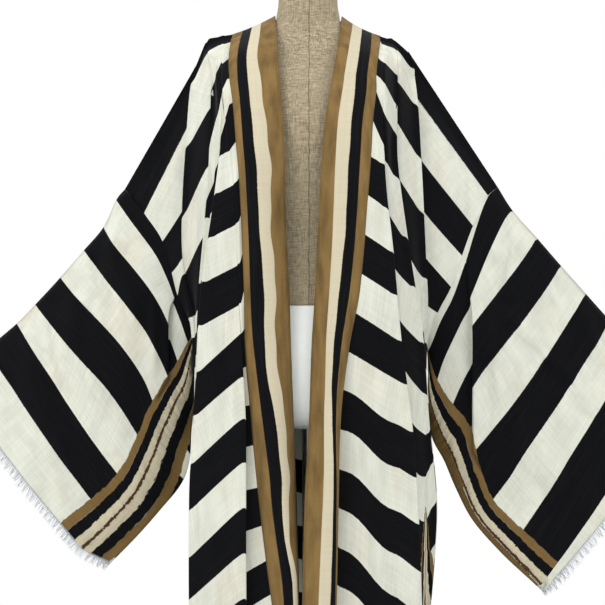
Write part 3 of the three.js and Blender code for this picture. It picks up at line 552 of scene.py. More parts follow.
# The folds from the band outward, each by its crest; depth is 0 where flat and 1 where whole.
crestNames = "z x y depth"
frontFolds = {
    "left": [
        {"turn": 1, "crest": table(
            crestNames,
            (1500, 150, 9, 0), (1447, 144, -70, 0), (1390, 140, -108, 0), (1284, 141, -132, 0.4),
            (1191, 145, -140, 0.9), (1080, 157, -142, 1), (904, 173, -137, 1), (749, 192, -126, 1),
            (561, 204, -112, 1), (300, 212, -102, 1),
        )},
        {"turn": 1, "crest": table(
            crestNames,
            (1497, 168, 6, 0), (1450, 172, -50, 0.3), (1337, 169, -92, 0.5), (1251, 168, -106, 0.9),
            (1119, 184, -112, 1), (988, 205, -103, 1), (922, 216, -94, 1), (760, 229, -82, 1),
            (604, 244, -70, 1), (500, 241, -62, 1), (300, 224, -56, 1),
        )},
        {"turn": 1, "crest": table(
            crestNames,
            (1460, 203, 2, 0), (1425, 206, -24, 0.6), (1355, 211, -50, 1), (1249, 216, -62, 1),
            (1064, 225, -62, 1), (972, 230, -50, 0.8), (900, 222, -40, 0.6), (760, 220, -40, 0.6),
            (200, 208, -30, 0.6),
        )},
    ],
    "right": [
        {"turn": -1, "crest": table(
            crestNames,
            (1500, 157, 10, 0), (1400, 156, -98, 0), (1213, 136, -141, 0), (980, 127, -146, 0),
            (930, 124, -147, 0.15), (860, 119, -147, 0.6), (759, 115, -146, 1), (616, 115, -140, 1),
            (300, 115, -130, 1),
        )},
        {"turn": 1, "crest": table(
            crestNames,
            (1498, 172, 8, 0), (1400, 168, -92, 0), (1323, 160, -122, 0.3), (1251, 165, -132, 0.7),
            (1173, 174, -138, 1), (1006, 197, -140, 1), (846, 206, -134, 1), (745, 213, -128, 1),
            (611, 220, -120, 1), (300, 221, -108, 1),
        )},
        {"turn": 1, "crest": table(
            crestNames,
            (1495, 197, 5, 0), (1468, 196, -24, 0.3), (1430, 187, -50, 0.4), (1366, 185, -80, 0.6),
            (1222, 187, -106, 0.9), (1129, 194, -110, 1), (988, 206, -106, 1), (745, 213, -94, 1),
            (300, 212, -78, 1),
        )},
        {"turn": 1, "crest": table(
            crestNames,
            (1440, 222, 2, 0), (1404, 227, -26, 0.7), (1313, 232, -48, 1), (1150, 241, -56, 1),
            (1060, 240, -54, 0.5), (960, 222, -48, 0.5), (745, 208, -50, 0.7), (200, 196, -36, 0.7),
        )},
    ],
}

# The back hangs in two folds a side between its middle and the side seams.
backNeckPoint = table(
    "t x y z",
    (0, 144, 12.6, 1506), (60, 146, 66, 1472), (130, 140, 104, 1412), (250, 128, 122, 1300),
    (500, 110, 132, 1055), (1240, 104, 128, 318),
)
backMiddle = table(
    "t y z",
    (0, 110, 1450), (60, 117, 1396), (250, 124, 1216), (500, 126, 975), (1240, 122, 262),
)
backFolds = [
    {"turn": 1, "crest": table(
        crestNames,
        (1500, 168, 8, 0), (1440, 170, 70, 0), (1340, 160, 112, 0.3), (1150, 152, 136, 0.8),
        (700, 150, 142, 1), (200, 152, 138, 1),
    )},
    {"turn": 1, "crest": table(
        crestNames,
        (1460, 205, 4, 0), (1400, 210, 44, 0.3), (1250, 214, 74, 0.9), (1000, 216, 84, 1),
        (700, 212, 92, 1), (200, 206, 84, 1),
    )},
]


# Distances along a row from its inner edge, in millimetres of cloth.
def runAlong(row):
    run = [0]
    for a, b in zip(row, row[1:]):
        run.append(run[-1] + math.dist(a, b))
    return run


# The four points of one fold where a row of cloth crosses it, seen from above: x, y and the depth.
def foldPoint(fold, k, z, inner, outer, grown):
    crest = readTable(fold["crest"], "z", z)
    x = crest["x"]
    depth = crest["depth"] * grown
    straight = mix(inner["y"], outer["y"], (x - inner["x"]) / (outer["x"] - inner["x"]))
    y = mix(straight, crest["y"], grown)
    back = -1 if crest["y"] > 0 else 1  # away from the outside of the garment
    pad = mix(cut["padFlat"], cut["padWhole"], depth)
    flat = (-pad, -pad / 4, pad / 3, pad)[k]
    hidden, step = cut["foldHidden"], cut["foldStep"]
    if fold["turn"] > 0:
        dx, dy = ((-pad, 0), (0, 4), (-hidden, 11), (3, step))[k]
    else:
        dx, dy = ((hidden * 0.4, 16), (hidden, 9), (0, 2.5), (pad, 0))[k]
    return x + mix(flat, dx, depth), y + back * dy * depth, depth


# A row laid by how far it has run: an even fall, but flat over the shoulder first.
def layByRun(row, inner, outer, t):
    fade = ease(1 - t / cut["shoulderFade"])
    run = runAlong([(x, y) for x, y, _ in row])
    for j in range(1, len(row) - 1):
        f = run[j] / run[-1]
        g = mix(f, readTable(shoulderFall, "f", f)["g"], fade) if fade else f
        row[j][2] = mix(inner["z"], outer["z"], g)


def foldWhole(depth):
    return min(1, depth * cut["wholeGain"])


# A row laid by the heights at its folds: where a fold is whole, the row drops behind its crest,
# and where it is still flat, the row runs on at the slope of its neighbours.
def layByFolds(row, folds, heights, depths):
    stops = [(row[0][0], row[0][2], row[0][2])]
    for k in range(len(folds)):
        high, low = heights[f"in{k}"], heights[f"out{k}"]
        whole = foldWhole(depths[k])
        middle = (high + low) / 2
        crest = (row[4 * k + 2][0] + row[4 * k + 3][0]) / 2
        stops.append((crest, mix(middle, high, whole), mix(middle, low, whole)))
    stops.append((row[-1][0], row[-1][2], row[-1][2]))
    for k, fold in enumerate(folds):
        crest, high, low = stops[k + 1]
        before, after = stops[k], stops[k + 2]
        whole = foldWhole(depths[k])
        slope = (after[1] - before[2]) / max(12, after[0] - before[0])
        points = row[4 * k + 1:4 * k + 5]
        if fold["turn"] > 0:
            f = clamp01((points[0][0] - before[0]) / max(1, points[1][0] - before[0]))
            f -= cut["crestRound"] * whole * f * (1 - f)
            levels = (mix(before[2], high, f), high, mix(high, low, 0.5), low)
        else:
            levels = (high, mix(high, low, 0.5), low, low)
        for p, z in zip(points, levels):
            plain = (high + low) / 2 + slope * (p[0] - crest)
            p[2] = mix(plain, z, whole)


# One row of cloth from its inner edge to its outer edge, as control points in a side's own x.
def clothRow(inner, outer, folds, t, heights=None):
    grown = ease(t / cut["foldsGrown"])
    count = len(folds) * 4 + 2
    row = [[0, 0, mix(inner["z"], outer["z"], j / (count - 1))] for j in range(count)]
    row[0] = [inner["x"], inner["y"], inner["z"]]
    row[-1] = [outer["x"], outer["y"], outer["z"]]
    if heights:
        for j in range(1, count - 1):
            k, n = divmod(j - 1, 4)
            row[j][2] = mix(heights[f"in{k}"], heights[f"out{k}"], n / 3)
    for _ in range(cut["foldPasses"]):
        depths = []
        for j in range(1, count - 1):
            x, y, depth = foldPoint(folds[(j - 1) // 4], (j - 1) % 4, row[j][2], inner, outer, grown)
            row[j][0], row[j][1] = x, y
            if j % 4 == 2:
                depths.append(depth)
        if heights:
            layByFolds(row, folds, heights, depths)
        else:
            layByRun(row, inner, outer, t)
    return row


# The row drawn as a smooth curve, with more points on the long stretches between folds.
def smoothRow(controls):
    last = len(controls) - 1
    out = [controls[0]]
    for j in range(last):
        four = [controls[min(last, max(0, i))] for i in range(j - 1, j + 3)]
        steps = cut["stretchSteps"] if j % 4 == 0 else cut["foldSteps"]
        out += [catmull(*four, s / steps) for s in range(1, steps + 1)]
    return out


def rowLengths(side):
    under = cut["underarm"][side]
    above, below = cut["rows"]
    top = [under * i / (above - 1) for i in range(above)]
    rest = cut["length"] - under
    return top + [under + rest * (i + 1) / below for i in range(below)]


# Near the shoulder seam the cloth settles onto the line of the seam.
def settleOnSeam(row, side, t):
    neck = bandEdge[side][0]
    w = ease(1 - t / cut["settle"])
    for p in row:
        seamY = mix(neck["y"], 0, ease((p[0] - neck["x"]) / cut["neckEase"]))
        p[1] = mix(p[1], seamY, w)
    return row


# A soft roll runs down the left front to the hem, and the weft swings over it.
softRoll = {"x": 114, "half": 55, "swing": 8, "startT": 700, "fullT": 860}


def frontRow(side, t):
    outer = readTable(outerEdge[side], "t", t)
    outer["y"] *= -1
    heights = readTable(foldHeights[side], "t", t)
    row = smoothRow(clothRow(readTable(bandEdge[side], "t", t), outer, frontFolds[side], t, heights))
    if side == "left":
        full = ease((t - softRoll["startT"]) / (softRoll["fullT"] - softRoll["startT"]))
        for p in row:
            off = (p[0] - softRoll["x"]) / softRoll["half"]
            if abs(off) < 1:
                p[2] -= softRoll["swing"] * full * math.sin(math.pi * off)
    return settleOnSeam(row, side, t)


# The height of a row at an x.
def heightAt(row, x):
    for a, b in zip(row, row[1:]):
        if a[0] <= x <= b[0]:
            return mix(a[2], b[2], (x - a[0]) / max(0.01, b[0] - a[0]))
    return row[-1][2] if x > row[-1][0] else row[0][2]


def backRow(side, t):
    inner = readTable(backNeckPoint, "t", t)
    neck = bandEdge[side][0]
    w = ease(t / cut["backEase"])
    inner["x"] = mix(neck["x"], inner["x"], w)
    inner["z"] = mix(neck["z"], inner["z"], w)
    row = smoothRow(clothRow(inner, readTable(outerEdge[side], "t", t), backFolds, t))
    return settleOnSeam(row, side, t)


# The back's upper rows are eased onto the front's shoulder line, so that both meet along it.
def meetShoulder(side, rows):
    own, line = [list(p) for p in rows[0]], frontGrid[side][0]
    for t, row in zip(lengths[side], rows):
        w = ease(1 - t / cut["backEase"])
        for p in row:
            p[2] += w * (heightAt(line, p[0]) - heightAt(own, p[0]))
    return rows


lengths = {side: rowLengths(side) for side in sides}
frontGrid = {side: [frontRow(side, t) for t in lengths[side]] for side in sides}
backHalf = {side: meetShoulder(side, [backRow(side, t) for t in lengths[side]]) for side in sides}
print("cloth rows laid out")

# The woven border shows along the side seam low down, as a V that widens towards the hem.
sideBorder = {"startT": 790, "fullT": 1240, "width": 66, "underarmGap": 20}
noEnd = 9.0  # in metres of cloth: a border that runs on to the hem


# 1 at the edge of the cloth, falling to 0 where the border ends, and under 0 where there is none.
def borderAt(side, distance, t):
    if t <= cut["underarm"][side] + sideBorder["underarmGap"]:
        return -1
    grown = clamp01((t - sideBorder["startT"]) / (sideBorder["fullT"] - sideBorder["startT"]))
    wide = sideBorder["width"] * grown
    return max(-1, 1 - distance / wide) if wide >= 1 else -1


# Small unevenness that every hanging cloth has, in millimetres.
def flutter(x, y, z, size, scale):
    return size * noise.noise(Vector((x / scale, y / scale, z / scale / 2.6)))


# Where the small creases begin under the shoulder line, and the size and run of the unevenness.
panelLoose = {
    "front": {"from": 90, "size": 2.2, "run": 46},
    "back": {"from": 120, "size": 2.5, "run": 52},
}


# How far a point of a panel stands off its plain form.
def looseness(panel, creases, x, y, z, t):
    look = panelLoose[panel]
    outward = -1 if panel == "front" else 1
    small = flutter(x, y, z, look["size"], look["run"])
    return ease(t / look["from"]) * (creaseHeight(creases, x, z) * outward + small)


frontCreases = {
    "left": [
        (10, -3, (250, 1330), (290, 1240), (318, 1180)),
        (7, 3, (262, 1300), (300, 1190)),
        (16, -4, (150, 1040), (128, 900), (118, 780)),
        (18, 4, (178, 700), (150, 560), (140, 420)),
    ],
    "right": [
        (12, -3, (250, 1310), (300, 1215)),
        (15, -4, (160, 1000), (148, 860), (150, 720)),
        (16, 4, (190, 640), (172, 520), (168, 400)),
    ],
}


# Low on the left the seam swings forward, so that a strip of the back and its woven border show.
showBack = {
    "x": 222, "startT": 600, "turnOver": 50,
    "border": 56, "borderT": 765, "borderOver": 260,
    "slope": 1.1, "slopeFor": 30,
}


def makeFront(side):
    sign = sideSign[side]
    grid, clothMap, borderMap = [], [], []
    for t, row in zip(lengths[side], frontGrid[side]):
        run = runAlong(row)
        points = []
        weave = [(r * mm, t * mm) for r in run]
        border = [borderAt(side, run[-1] - r, t) for r in run]
        if side == "left" and t > showBack["startT"]:
            edge = next(k for k, p in enumerate(row) if p[0] > showBack["x"])
            full = ease((t - showBack["startT"]) / showBack["turnOver"])
            wide = showBack["border"] * clamp01((t - showBack["borderT"]) / showBack["borderOver"])
            for k, p in enumerate(row):
                if k > edge:
                    beyond = min(showBack["slopeFor"], run[k] - run[edge])
                    turned = 2 * (row[edge][2] - p[2]) + showBack["slope"] * beyond
                    weave[k] = (run[k] * mm, (t + full * turned) * mm)
                off = abs(run[k] - run[edge])
                border[k] = 1 - off / wide if wide > 2 and off < wide else -1
        for x, y, z in row:
            y += looseness("front", frontCreases[side], x, y, z, t)
            points.append((x * sign, y, z))
        grid.append(points)
        clothMap.append(weave)
        borderMap.append([(b, noEnd) for b in border])
    maps = {"cloth": clothMap, "border": borderMap}
    return gridObject(f"frontPanel_{side}", grid, maps, looks["striped_voile"])


backCentreSteps = 24
backSag = {"depth": 33, "startT": 300, "over": 200, "half": 70}  # the weft sags at the back's middle


def backCentre(i):
    middle = readTable(backMiddle, "t", lengths["left"][i])
    out = []
    for k in range(1, backCentreSteps):
        w = 1 - 2 * k / backCentreSteps
        edge = backHalf["left" if w > 0 else "right"][i][0]
        x = edge[0] * w
        out.append([x, mix(middle["y"], edge[1], w * w), mix(middle["z"], edge[2], w * w)])
    return out


backCreases = [
    (20, 4, (60, 1380), (40, 1240), (46, 1080)),
    (22, -4, (-70, 1300), (-52, 1120), (-60, 900)),
    (26, 5, (20, 900), (8, 700), (16, 480)),
    (20, 4, (-30, 760), (-44, 560), (-40, 380)),
]


def makeBack():
    grid, clothMap, borderMap = [], [], []
    for i in range(len(lengths["left"])):
        tLeft, tRight = lengths["left"][i], lengths["right"][i]
        left = [[x, y, z] for x, y, z in reversed(backHalf["left"][i])]
        right = [[-x, y, z] for x, y, z in backHalf["right"][i]]
        row = left + backCentre(i) + right
        warp = [tLeft] * len(left)
        for k in range(1, backCentreSteps):
            w = 1 - 2 * k / backCentreSteps
            warp.append(tLeft if w > 0 else mix(tLeft, tRight, w * w))
        warp += [tRight] * len(right)
        run = runAlong(row)
        points = []
        for x, y, z in row:
            y += looseness("back", backCreases, x, y, z, tLeft)
            points.append((x, y, z))
        grid.append(points)
        low = backSag["depth"] * ease((tLeft - backSag["startT"]) / backSag["over"])
        drop = [low * ease(1.4 - abs(p[0]) / backSag["half"]) for p in row]
        clothMap.append([(r * mm, (t - d) * mm) for r, t, d in zip(run, warp, drop)])
        border = []
        for r, t, p in zip(run, warp, row):
            side = "left" if p[0] > 0 else "right"
            border.append((borderAt(side, min(r, run[-1] - r), t), noEnd))
        borderMap.append(border)
    maps = {"cloth": clothMap, "border": borderMap}
    return gridObject("backPanel", grid, maps, looks["striped_voile"])


fronts = {side: makeFront(side) for side in sides}
backPanel = makeBack()
for side in sides:
    standFor(fronts[side], f"front_{side}")
standFor(backPanel, "back")
print("front and back panels made")


# The band runs round the neck and down both fronts: the middle and the inner edge of its section.
bandNames = "z midX midY midZ inX inY inZ"
bandSection = {
    "left": table(
        bandNames,
        (1505, 101, 8, 1520, 66, 2, 1541), (1490, 101, -24, 1502, 63, -36, 1518),
        (1447, 95, -86, 1451, 54, -92, 1456), (1319, 80, -140, 1319, 32, -128, 1320),
        (1153, 72, -150, 1153, 20, -136, 1153), (1012, 57, -150, 1012, 14, -126, 1012),
        (901, 50, -152, 901, 7, -124, 901), (758, 48, -152, 758, 2, -130, 758),
        (614, 46, -146, 614, -6, -134, 614), (361, 40, -138, 361, -12, -128, 361),
    ),
    "right": table(
        bandNames,
        (1508, 107, 8, 1522, 64, 2, 1542), (1492, 109, -24, 1504, 62, -36, 1520),
        (1449, 113, -86, 1452, 57, -92, 1456), (1280, 98, -146, 1280, 44, -130, 1281),
        (1144, 86, -152, 1144, 42, -124, 1144), (1004, 81, -152, 1004, 35, -122, 1004),
        (901, 77, -150, 901, 32, -120, 901), (759, 64, -150, 759, 27, -116, 759),
        (615, 46, -146, 615, 22, -98, 615), (469, 28, -140, 469, 19, -88, 469),
        (354, 26, -134, 354, 20, -82, 354),
    ),
}
band = {
    "neckInY": 72, "neckInZ": 1532, "neckMidY": 98, "neckMidZ": 1492, "levelBelow": 1400, "steps": 26,
    "thick": 1.6, "loose": 1.4, "looseBelow": 1330,
}


# A point of the band's section at w from its outer edge (0) through its middle to its inner edge (1).
def bandPoint(outer, middle, inner, w):
    turn = [2 * m - (o + i) / 2 for o, m, i in zip(outer, middle, inner)]
    return [(1 - w) ** 2 * o + 2 * w * (1 - w) * c + w * w * i for o, c, i in zip(outer, turn, inner)]


def bandAcross(outer, middle, inner):
    return [bandPoint(outer, middle, inner, k / band["steps"]) for k in range(band["steps"] + 1)]


def bandSides(side):
    sign = sideSign[side]
    rows = []
    for row in frontGrid[side]:
        x, y, z = row[0]
        s = readTable(bandSection[side], "z", z)
        level = z < band["levelBelow"]
        middle = (s["midX"] * sign, s["midY"], z if level else s["midZ"])
        inner = (s["inX"] * sign, s["inY"], z if level else s["inZ"])
        rows.append(bandAcross((x * sign, y, z), middle, inner))
    return rows


def bandNeck(left, right):
    middleAt = cloth["bandParts"][2] / cloth["bandParts"][4]
    ends = {}
    for name, section in (("left", left), ("right", right)):
        ends[name] = (section[round(middleAt * band["steps"])], section[-1])
    rows = []
    for k, outer in enumerate(backCentre(0), start=1):
        w = 1 - 2 * k / backCentreSteps
        end = ends["left" if w > 0 else "right"]
        turned = math.sin(abs(w) * math.pi / 2)
        rounded = math.sqrt(1 - w * w)
        places = []
        for p, y, z in (
            (end[0], band["neckMidY"], band["neckMidZ"]),
            (end[1], band["neckInY"], band["neckInZ"]),
        ):
            places.append((p[0] * turned, mix(p[1], y, rounded), mix(z, p[2], w * w)))
        rows.append(bandAcross(outer, *places))
    return rows


# Where each woven stripe of the band ends, as a share of its width seen from the front.
bandLook = {
    "left": table(
        "z gold black cream",
        (1510, 0.235, 0.49, 0.72), (1447, 0.21, 0.47, 0.73), (1300, 0.225, 0.455, 0.73),
        (1116, 0.21, 0.43, 0.686), (977, 0.234, 0.459, 0.67), (840, 0.21, 0.37, 0.56),
        (777, 0.165, 0.275, 0.525), (673, 0.056, 0.14, 0.44), (570, 0.02, 0.13, 0.456),
        (354, 0.01, 0.17, 0.54),
    ),
    "right": table(
        "z gold black cream",
        (1510, 0.25, 0.48, 0.71), (1440, 0.18, 0.37, 0.58), (1300, 0.15, 0.375, 0.675),
        (1116, 0.16, 0.42, 0.685), (977, 0.153, 0.45, 0.69), (840, 0.24, 0.46, 0.70),
        (777, 0.276, 0.578, 0.806), (673, 0.35, 0.65, 0.837), (570, 0.378, 0.63, 0.78),
        (465, 0.48, 0.83, 0.97),
    ),
}


# The place across the woven band, in millimetres, at a share of its width seen from the front.
def acrossBand(side, z, share):
    look = readTable(bandLook[side], "z", z)
    loose = 0.02 * math.sin(z / 31) + 0.014 * math.sin(z / 13 + 1)  # the soft inner half wanders
    stops = (0, look["gold"], look["black"] + loose * 0.3, look["cream"] + loose * (side == "right"), 1)
    for k in range(4):
        if share <= stops[k + 1] or k == 3:
            w = (share - stops[k]) / (stops[k + 1] - stops[k])
            return mix(cloth["bandParts"][k], cloth["bandParts"][k + 1], w)


def makeBand():
    left, right = bandSides("left"), bandSides("right")
    grid = left[::-1] + bandNeck(left[0], right[0]) + right
    run = runAlong([row[0] for row in grid])
    clothMap = []
    for i, row in enumerate(grid):
        across = [k / band["steps"] for k in range(band["steps"] + 1)]
        side = "left" if i < len(left) + backCentreSteps / 2 else "right"
        onNeck = len(left) <= i < len(grid) - len(right)
        first, last = row[0][0], row[-1][0]
        weave = []
        for w, p in zip(across, row):
            share = w if onNeck else clamp01((first - p[0]) / (first - last))
            weave.append((acrossBand(side, min(1510, row[0][2]), share) * mm, run[i] * mm))
        clothMap.append(weave)
        for k, p in enumerate(row):
            w = across[k]
            if p[2] < band["looseBelow"]:
                lift = flutter(p[0] * 0.6, p[1], p[2] * 1.6, band["loose"], 34)
                p[1] += lift * ease(w * 3) * (0.4 + w)
    obj = gridObject("collarBand", grid, {"cloth": clothMap}, looks["band_voile"])
    double = obj.modifiers.new("foldedDouble", "SOLIDIFY")  # the band is a strip folded in two
    double.thickness = band["thick"] * mm
    double.offset = 0
    return obj


collarBand = makeBand()
standFor(collarBand, "collar_band")
print("band made")


# A sleeve is a row of hoops from the armhole to the cuff: its top line, its seam and its lowest line.
hoopNames = "k topX topZ seamX seamZ lowX lowZ"
sleeveHoops = {
    "left": table(
        hoopNames,
        (0, 370, 1208, 232, 892, 230, 886), (1, 400, 1161, 238, 795, 232, 782),
        (2, 448, 1107, 257, 735, 242, 718), (3, 494, 1054, 279, 690, 266, 672),
        (4, 542, 1000, 303, 630, 289, 618), (5, 589, 947, 333, 566, 322, 556),
        (6, 636, 892, 391, 501, 379, 491), (7, 684, 840, 444, 446, 436, 438),
        (8, 743, 785, 462, 424, 457, 419),
    ),
    "right": table(
        hoopNames,
        (0, 357, 1204, 221, 928, 220, 922), (1, 374, 1183, 226, 885, 219, 860),
        (2, 399, 1130, 238, 830, 221, 790), (3, 437, 1085, 257, 790, 226, 730),
        (4, 483, 1032, 280, 740, 230, 672), (5, 532, 979, 303, 680, 246, 625),
        (6, 568, 942, 338, 611, 287, 574), (7, 626, 891, 386, 556, 331, 524),
        (8, 688, 820, 439, 505, 384, 470),
    ),
}
sleeve = {
    "left": {
        "front": 26, "back": 26, "seamY": -6, "lowAt": 0.93, "pucker": 2.2,
        "tuck": {"x": 316, "hidden": 13, "height": 16, "topZ": 1190, "lowZ": 640},
        "shift": 0.33, "backShift": 0.0, "borderEnds": 7, "seamStrip": 0.3,
        "frontBorder": table(
            "h w",
            (0, 6), (1, 39), (2, 55), (3, 66), (4, 52), (5, 45), (6, 49), (7, 53), (8, 60),
        ),
        "backBorder": table("h w", (0, 20), (8, 66)),
        "bow": table(
            "h b",
            (0, 0), (1, 0.35), (2, 0.4), (3, 0.22), (4, 0), (5, -0.06), (6, 0), (7, 0), (8, 0),
        ),
        "cuffDraw": 0.42,
    },
    "right": {
        "front": 26, "back": 26, "seamY": -16, "lowAt": 0.84, "pucker": 2.2,
        "tuck": {"x": 268, "hidden": 10, "height": 14, "topZ": 1110, "lowZ": 780},
        "shift": 0.12, "backShift": 0.8, "borderEnds": 9, "seamStrip": 0.0,
        "frontBorder": table("h w", (0, 4), (1, 22), (2, 38), (4, 48), (6, 52), (8, 66)),
        "backBorder": table("h w", (0, 30), (2, 60), (4, 68), (8, 58)),
        "bow": table(
            "h b",
            (0, 0.5), (1, 0.55), (2, 0.5), (3, 0.4), (4, 0.42), (5, 0.18), (6, -0.04), (7, 0), (8, 0),
        ),
        "cuffDraw": 0.0,
    },
}
sleeveFall = {
    "hoops": 8,  # the last hoop is the cuff
    "rows": 112,
    "inner": 34,  # points round a hoop: inside the tuck, over it, outside it and down the back
    "over": 10,
    "outer": 40,
    "back": 60,
    "overHalf": 0.008,  # half of the tuck's edge, as a share of the hoop
    "widen": 1.25,  # how much fuller the cuff hangs than the armhole
    "leave": 1.6,  # hoops that the sleeve takes to leave the armhole's line
    "tuckFade": 60,  # how softly the tuck begins and ends along the sleeve
    "tuckReach": 70,  # how far from the tuck its stripes are drawn along
    "creaseGain": 1.5,
    "flutter": 3.2,
    "flutterRun": 40,
    "puckerReach": 18,  # how far from the seam the cloth is drawn up
    "wrapGold": 1.4,  # a place in the border that is plain gold
    "ruffHoops": 0.9,  # how far the strip beside the armhole seam reaches
}


# 1 where the tuck is whole and 0 above and below it.
def tuckGrown(tuck, z):
    fade = sleeveFall["tuckFade"]
    return ease((tuck["topZ"] - z) / fade) * ease((z - tuck["lowZ"]) / fade)


# The point of the armhole's own line at q, where the sleeve begins.
def onArmhole(side, q, front):
    edge = readTable(outerEdge[side], "t", q * cut["underarm"][side])
    y = -edge["y"] if front else edge["y"]
    if q <= 0 or q >= 1:
        y = 0
    return edge["x"], y, edge["z"]


# A point of the sleeve before it is fitted to the armhole: q runs from the top line (0) to the seam (1).
def sleevePoint(side, hoop, q, front, folded):
    h = readTable(sleeveHoops[side], "k", hoop)
    shape = sleeve[side]
    opened = mix(1, sleeveFall["widen"], hoop / sleeveFall["hoops"])
    if front:
        x, z = mix(h["topX"], h["seamX"], q), mix(h["topZ"], h["seamZ"], q)
        tuck = shape["tuck"]
        inside = tuckGrown(tuck, z)
        behind = tuck["height"] * inside * folded
        puff = -shape["front"] * opened * math.sin(math.pi * clamp01(q)) ** 0.8
        under = tuck["hidden"] * inside * math.sin(math.pi * folded)
        return x + under, puff + shape["seamY"] * q ** 4 + behind * 4 * q * (1 - q), z
    w = min(1, q / shape["lowAt"])
    wrap = clamp01((q - shape["lowAt"]) / (1 - shape["lowAt"]))
    x = mix(mix(h["topX"], h["lowX"], w), h["seamX"], wrap)
    z = mix(mix(h["topZ"], h["lowZ"], w), h["seamZ"], wrap)
    y = mix(shape["back"] * opened * math.sin(math.pi * w * 0.92) ** 0.8, shape["seamY"], ease(wrap))
    return x, y, z


# Where the tuck crosses a hoop, as q; beyond the sleeve it stays near the end of the hoop.
def tuckAt(side, hoop):
    h = readTable(sleeveHoops[side], "k", hoop)
    q = (h["topX"] - sleeve[side]["tuck"]["x"]) / (h["topX"] - h["seamX"])
    return min(0.9, max(0.3, q))


# The stops round one hoop: up the front from the seam to the top line, then down the back.
def ringStops(side, hoop):
    at = tuckAt(side, hoop)
    half = sleeveFall["overHalf"]
    stops = []
    for k in range(sleeveFall["inner"]):
        stops.append((mix(1, at + half, k / sleeveFall["inner"]), True, 1))
    for k in range(sleeveFall["over"]):
        w = k / sleeveFall["over"]
        stops.append((mix(at + half, at - half, w), True, 1 - w))
    for k in range(sleeveFall["outer"]):
        stops.append((mix(at - half, 0, k / sleeveFall["outer"]), True, 0))
    for k in range(sleeveFall["back"] + 1):
        stops.append((k / sleeveFall["back"], False, 0))
    return stops


sleeveCreases = {
    "left": [
        (9, 5, (355, 985), (480, 860), (595, 735)),
        (14, -4, (372, 960), (500, 820), (600, 715)),
        (16, -6, (420, 1110), (380, 1010), (372, 920)),
        (18, 5, (520, 990), (560, 900), (610, 800)),
        (14, -5, (330, 900), (350, 800), (352, 700)),
        (16, 4, (400, 800), (410, 700), (440, 610)),
        (14, -4, (600, 900), (640, 800), (660, 740)),
    ],
    "right": [
        (16, 6, (392, 1140), (372, 1060), (340, 980), (318, 900)),
        (12, -5, (420, 1090), (400, 1010), (360, 940)),
        (20, 6, (470, 1010), (450, 900), (400, 800), (360, 720)),
        (14, -5, (520, 960), (500, 860), (470, 780)),
        (22, 5, (560, 930), (520, 800), (460, 690), (400, 620)),
        (9, 4, (300, 1000), (296, 900), (300, 820)),
        (16, -4, (590, 880), (560, 780), (500, 660)),
    ],
}
backSleeveCreases = [
    (16, -5, (380, 1100), (340, 980), (300, 860)),
    (20, 5, (470, 1010), (420, 880), (350, 760)),
    (18, -5, (560, 920), (520, 780), (450, 640)),
    (14, 4, (620, 860), (590, 760), (540, 660)),
]


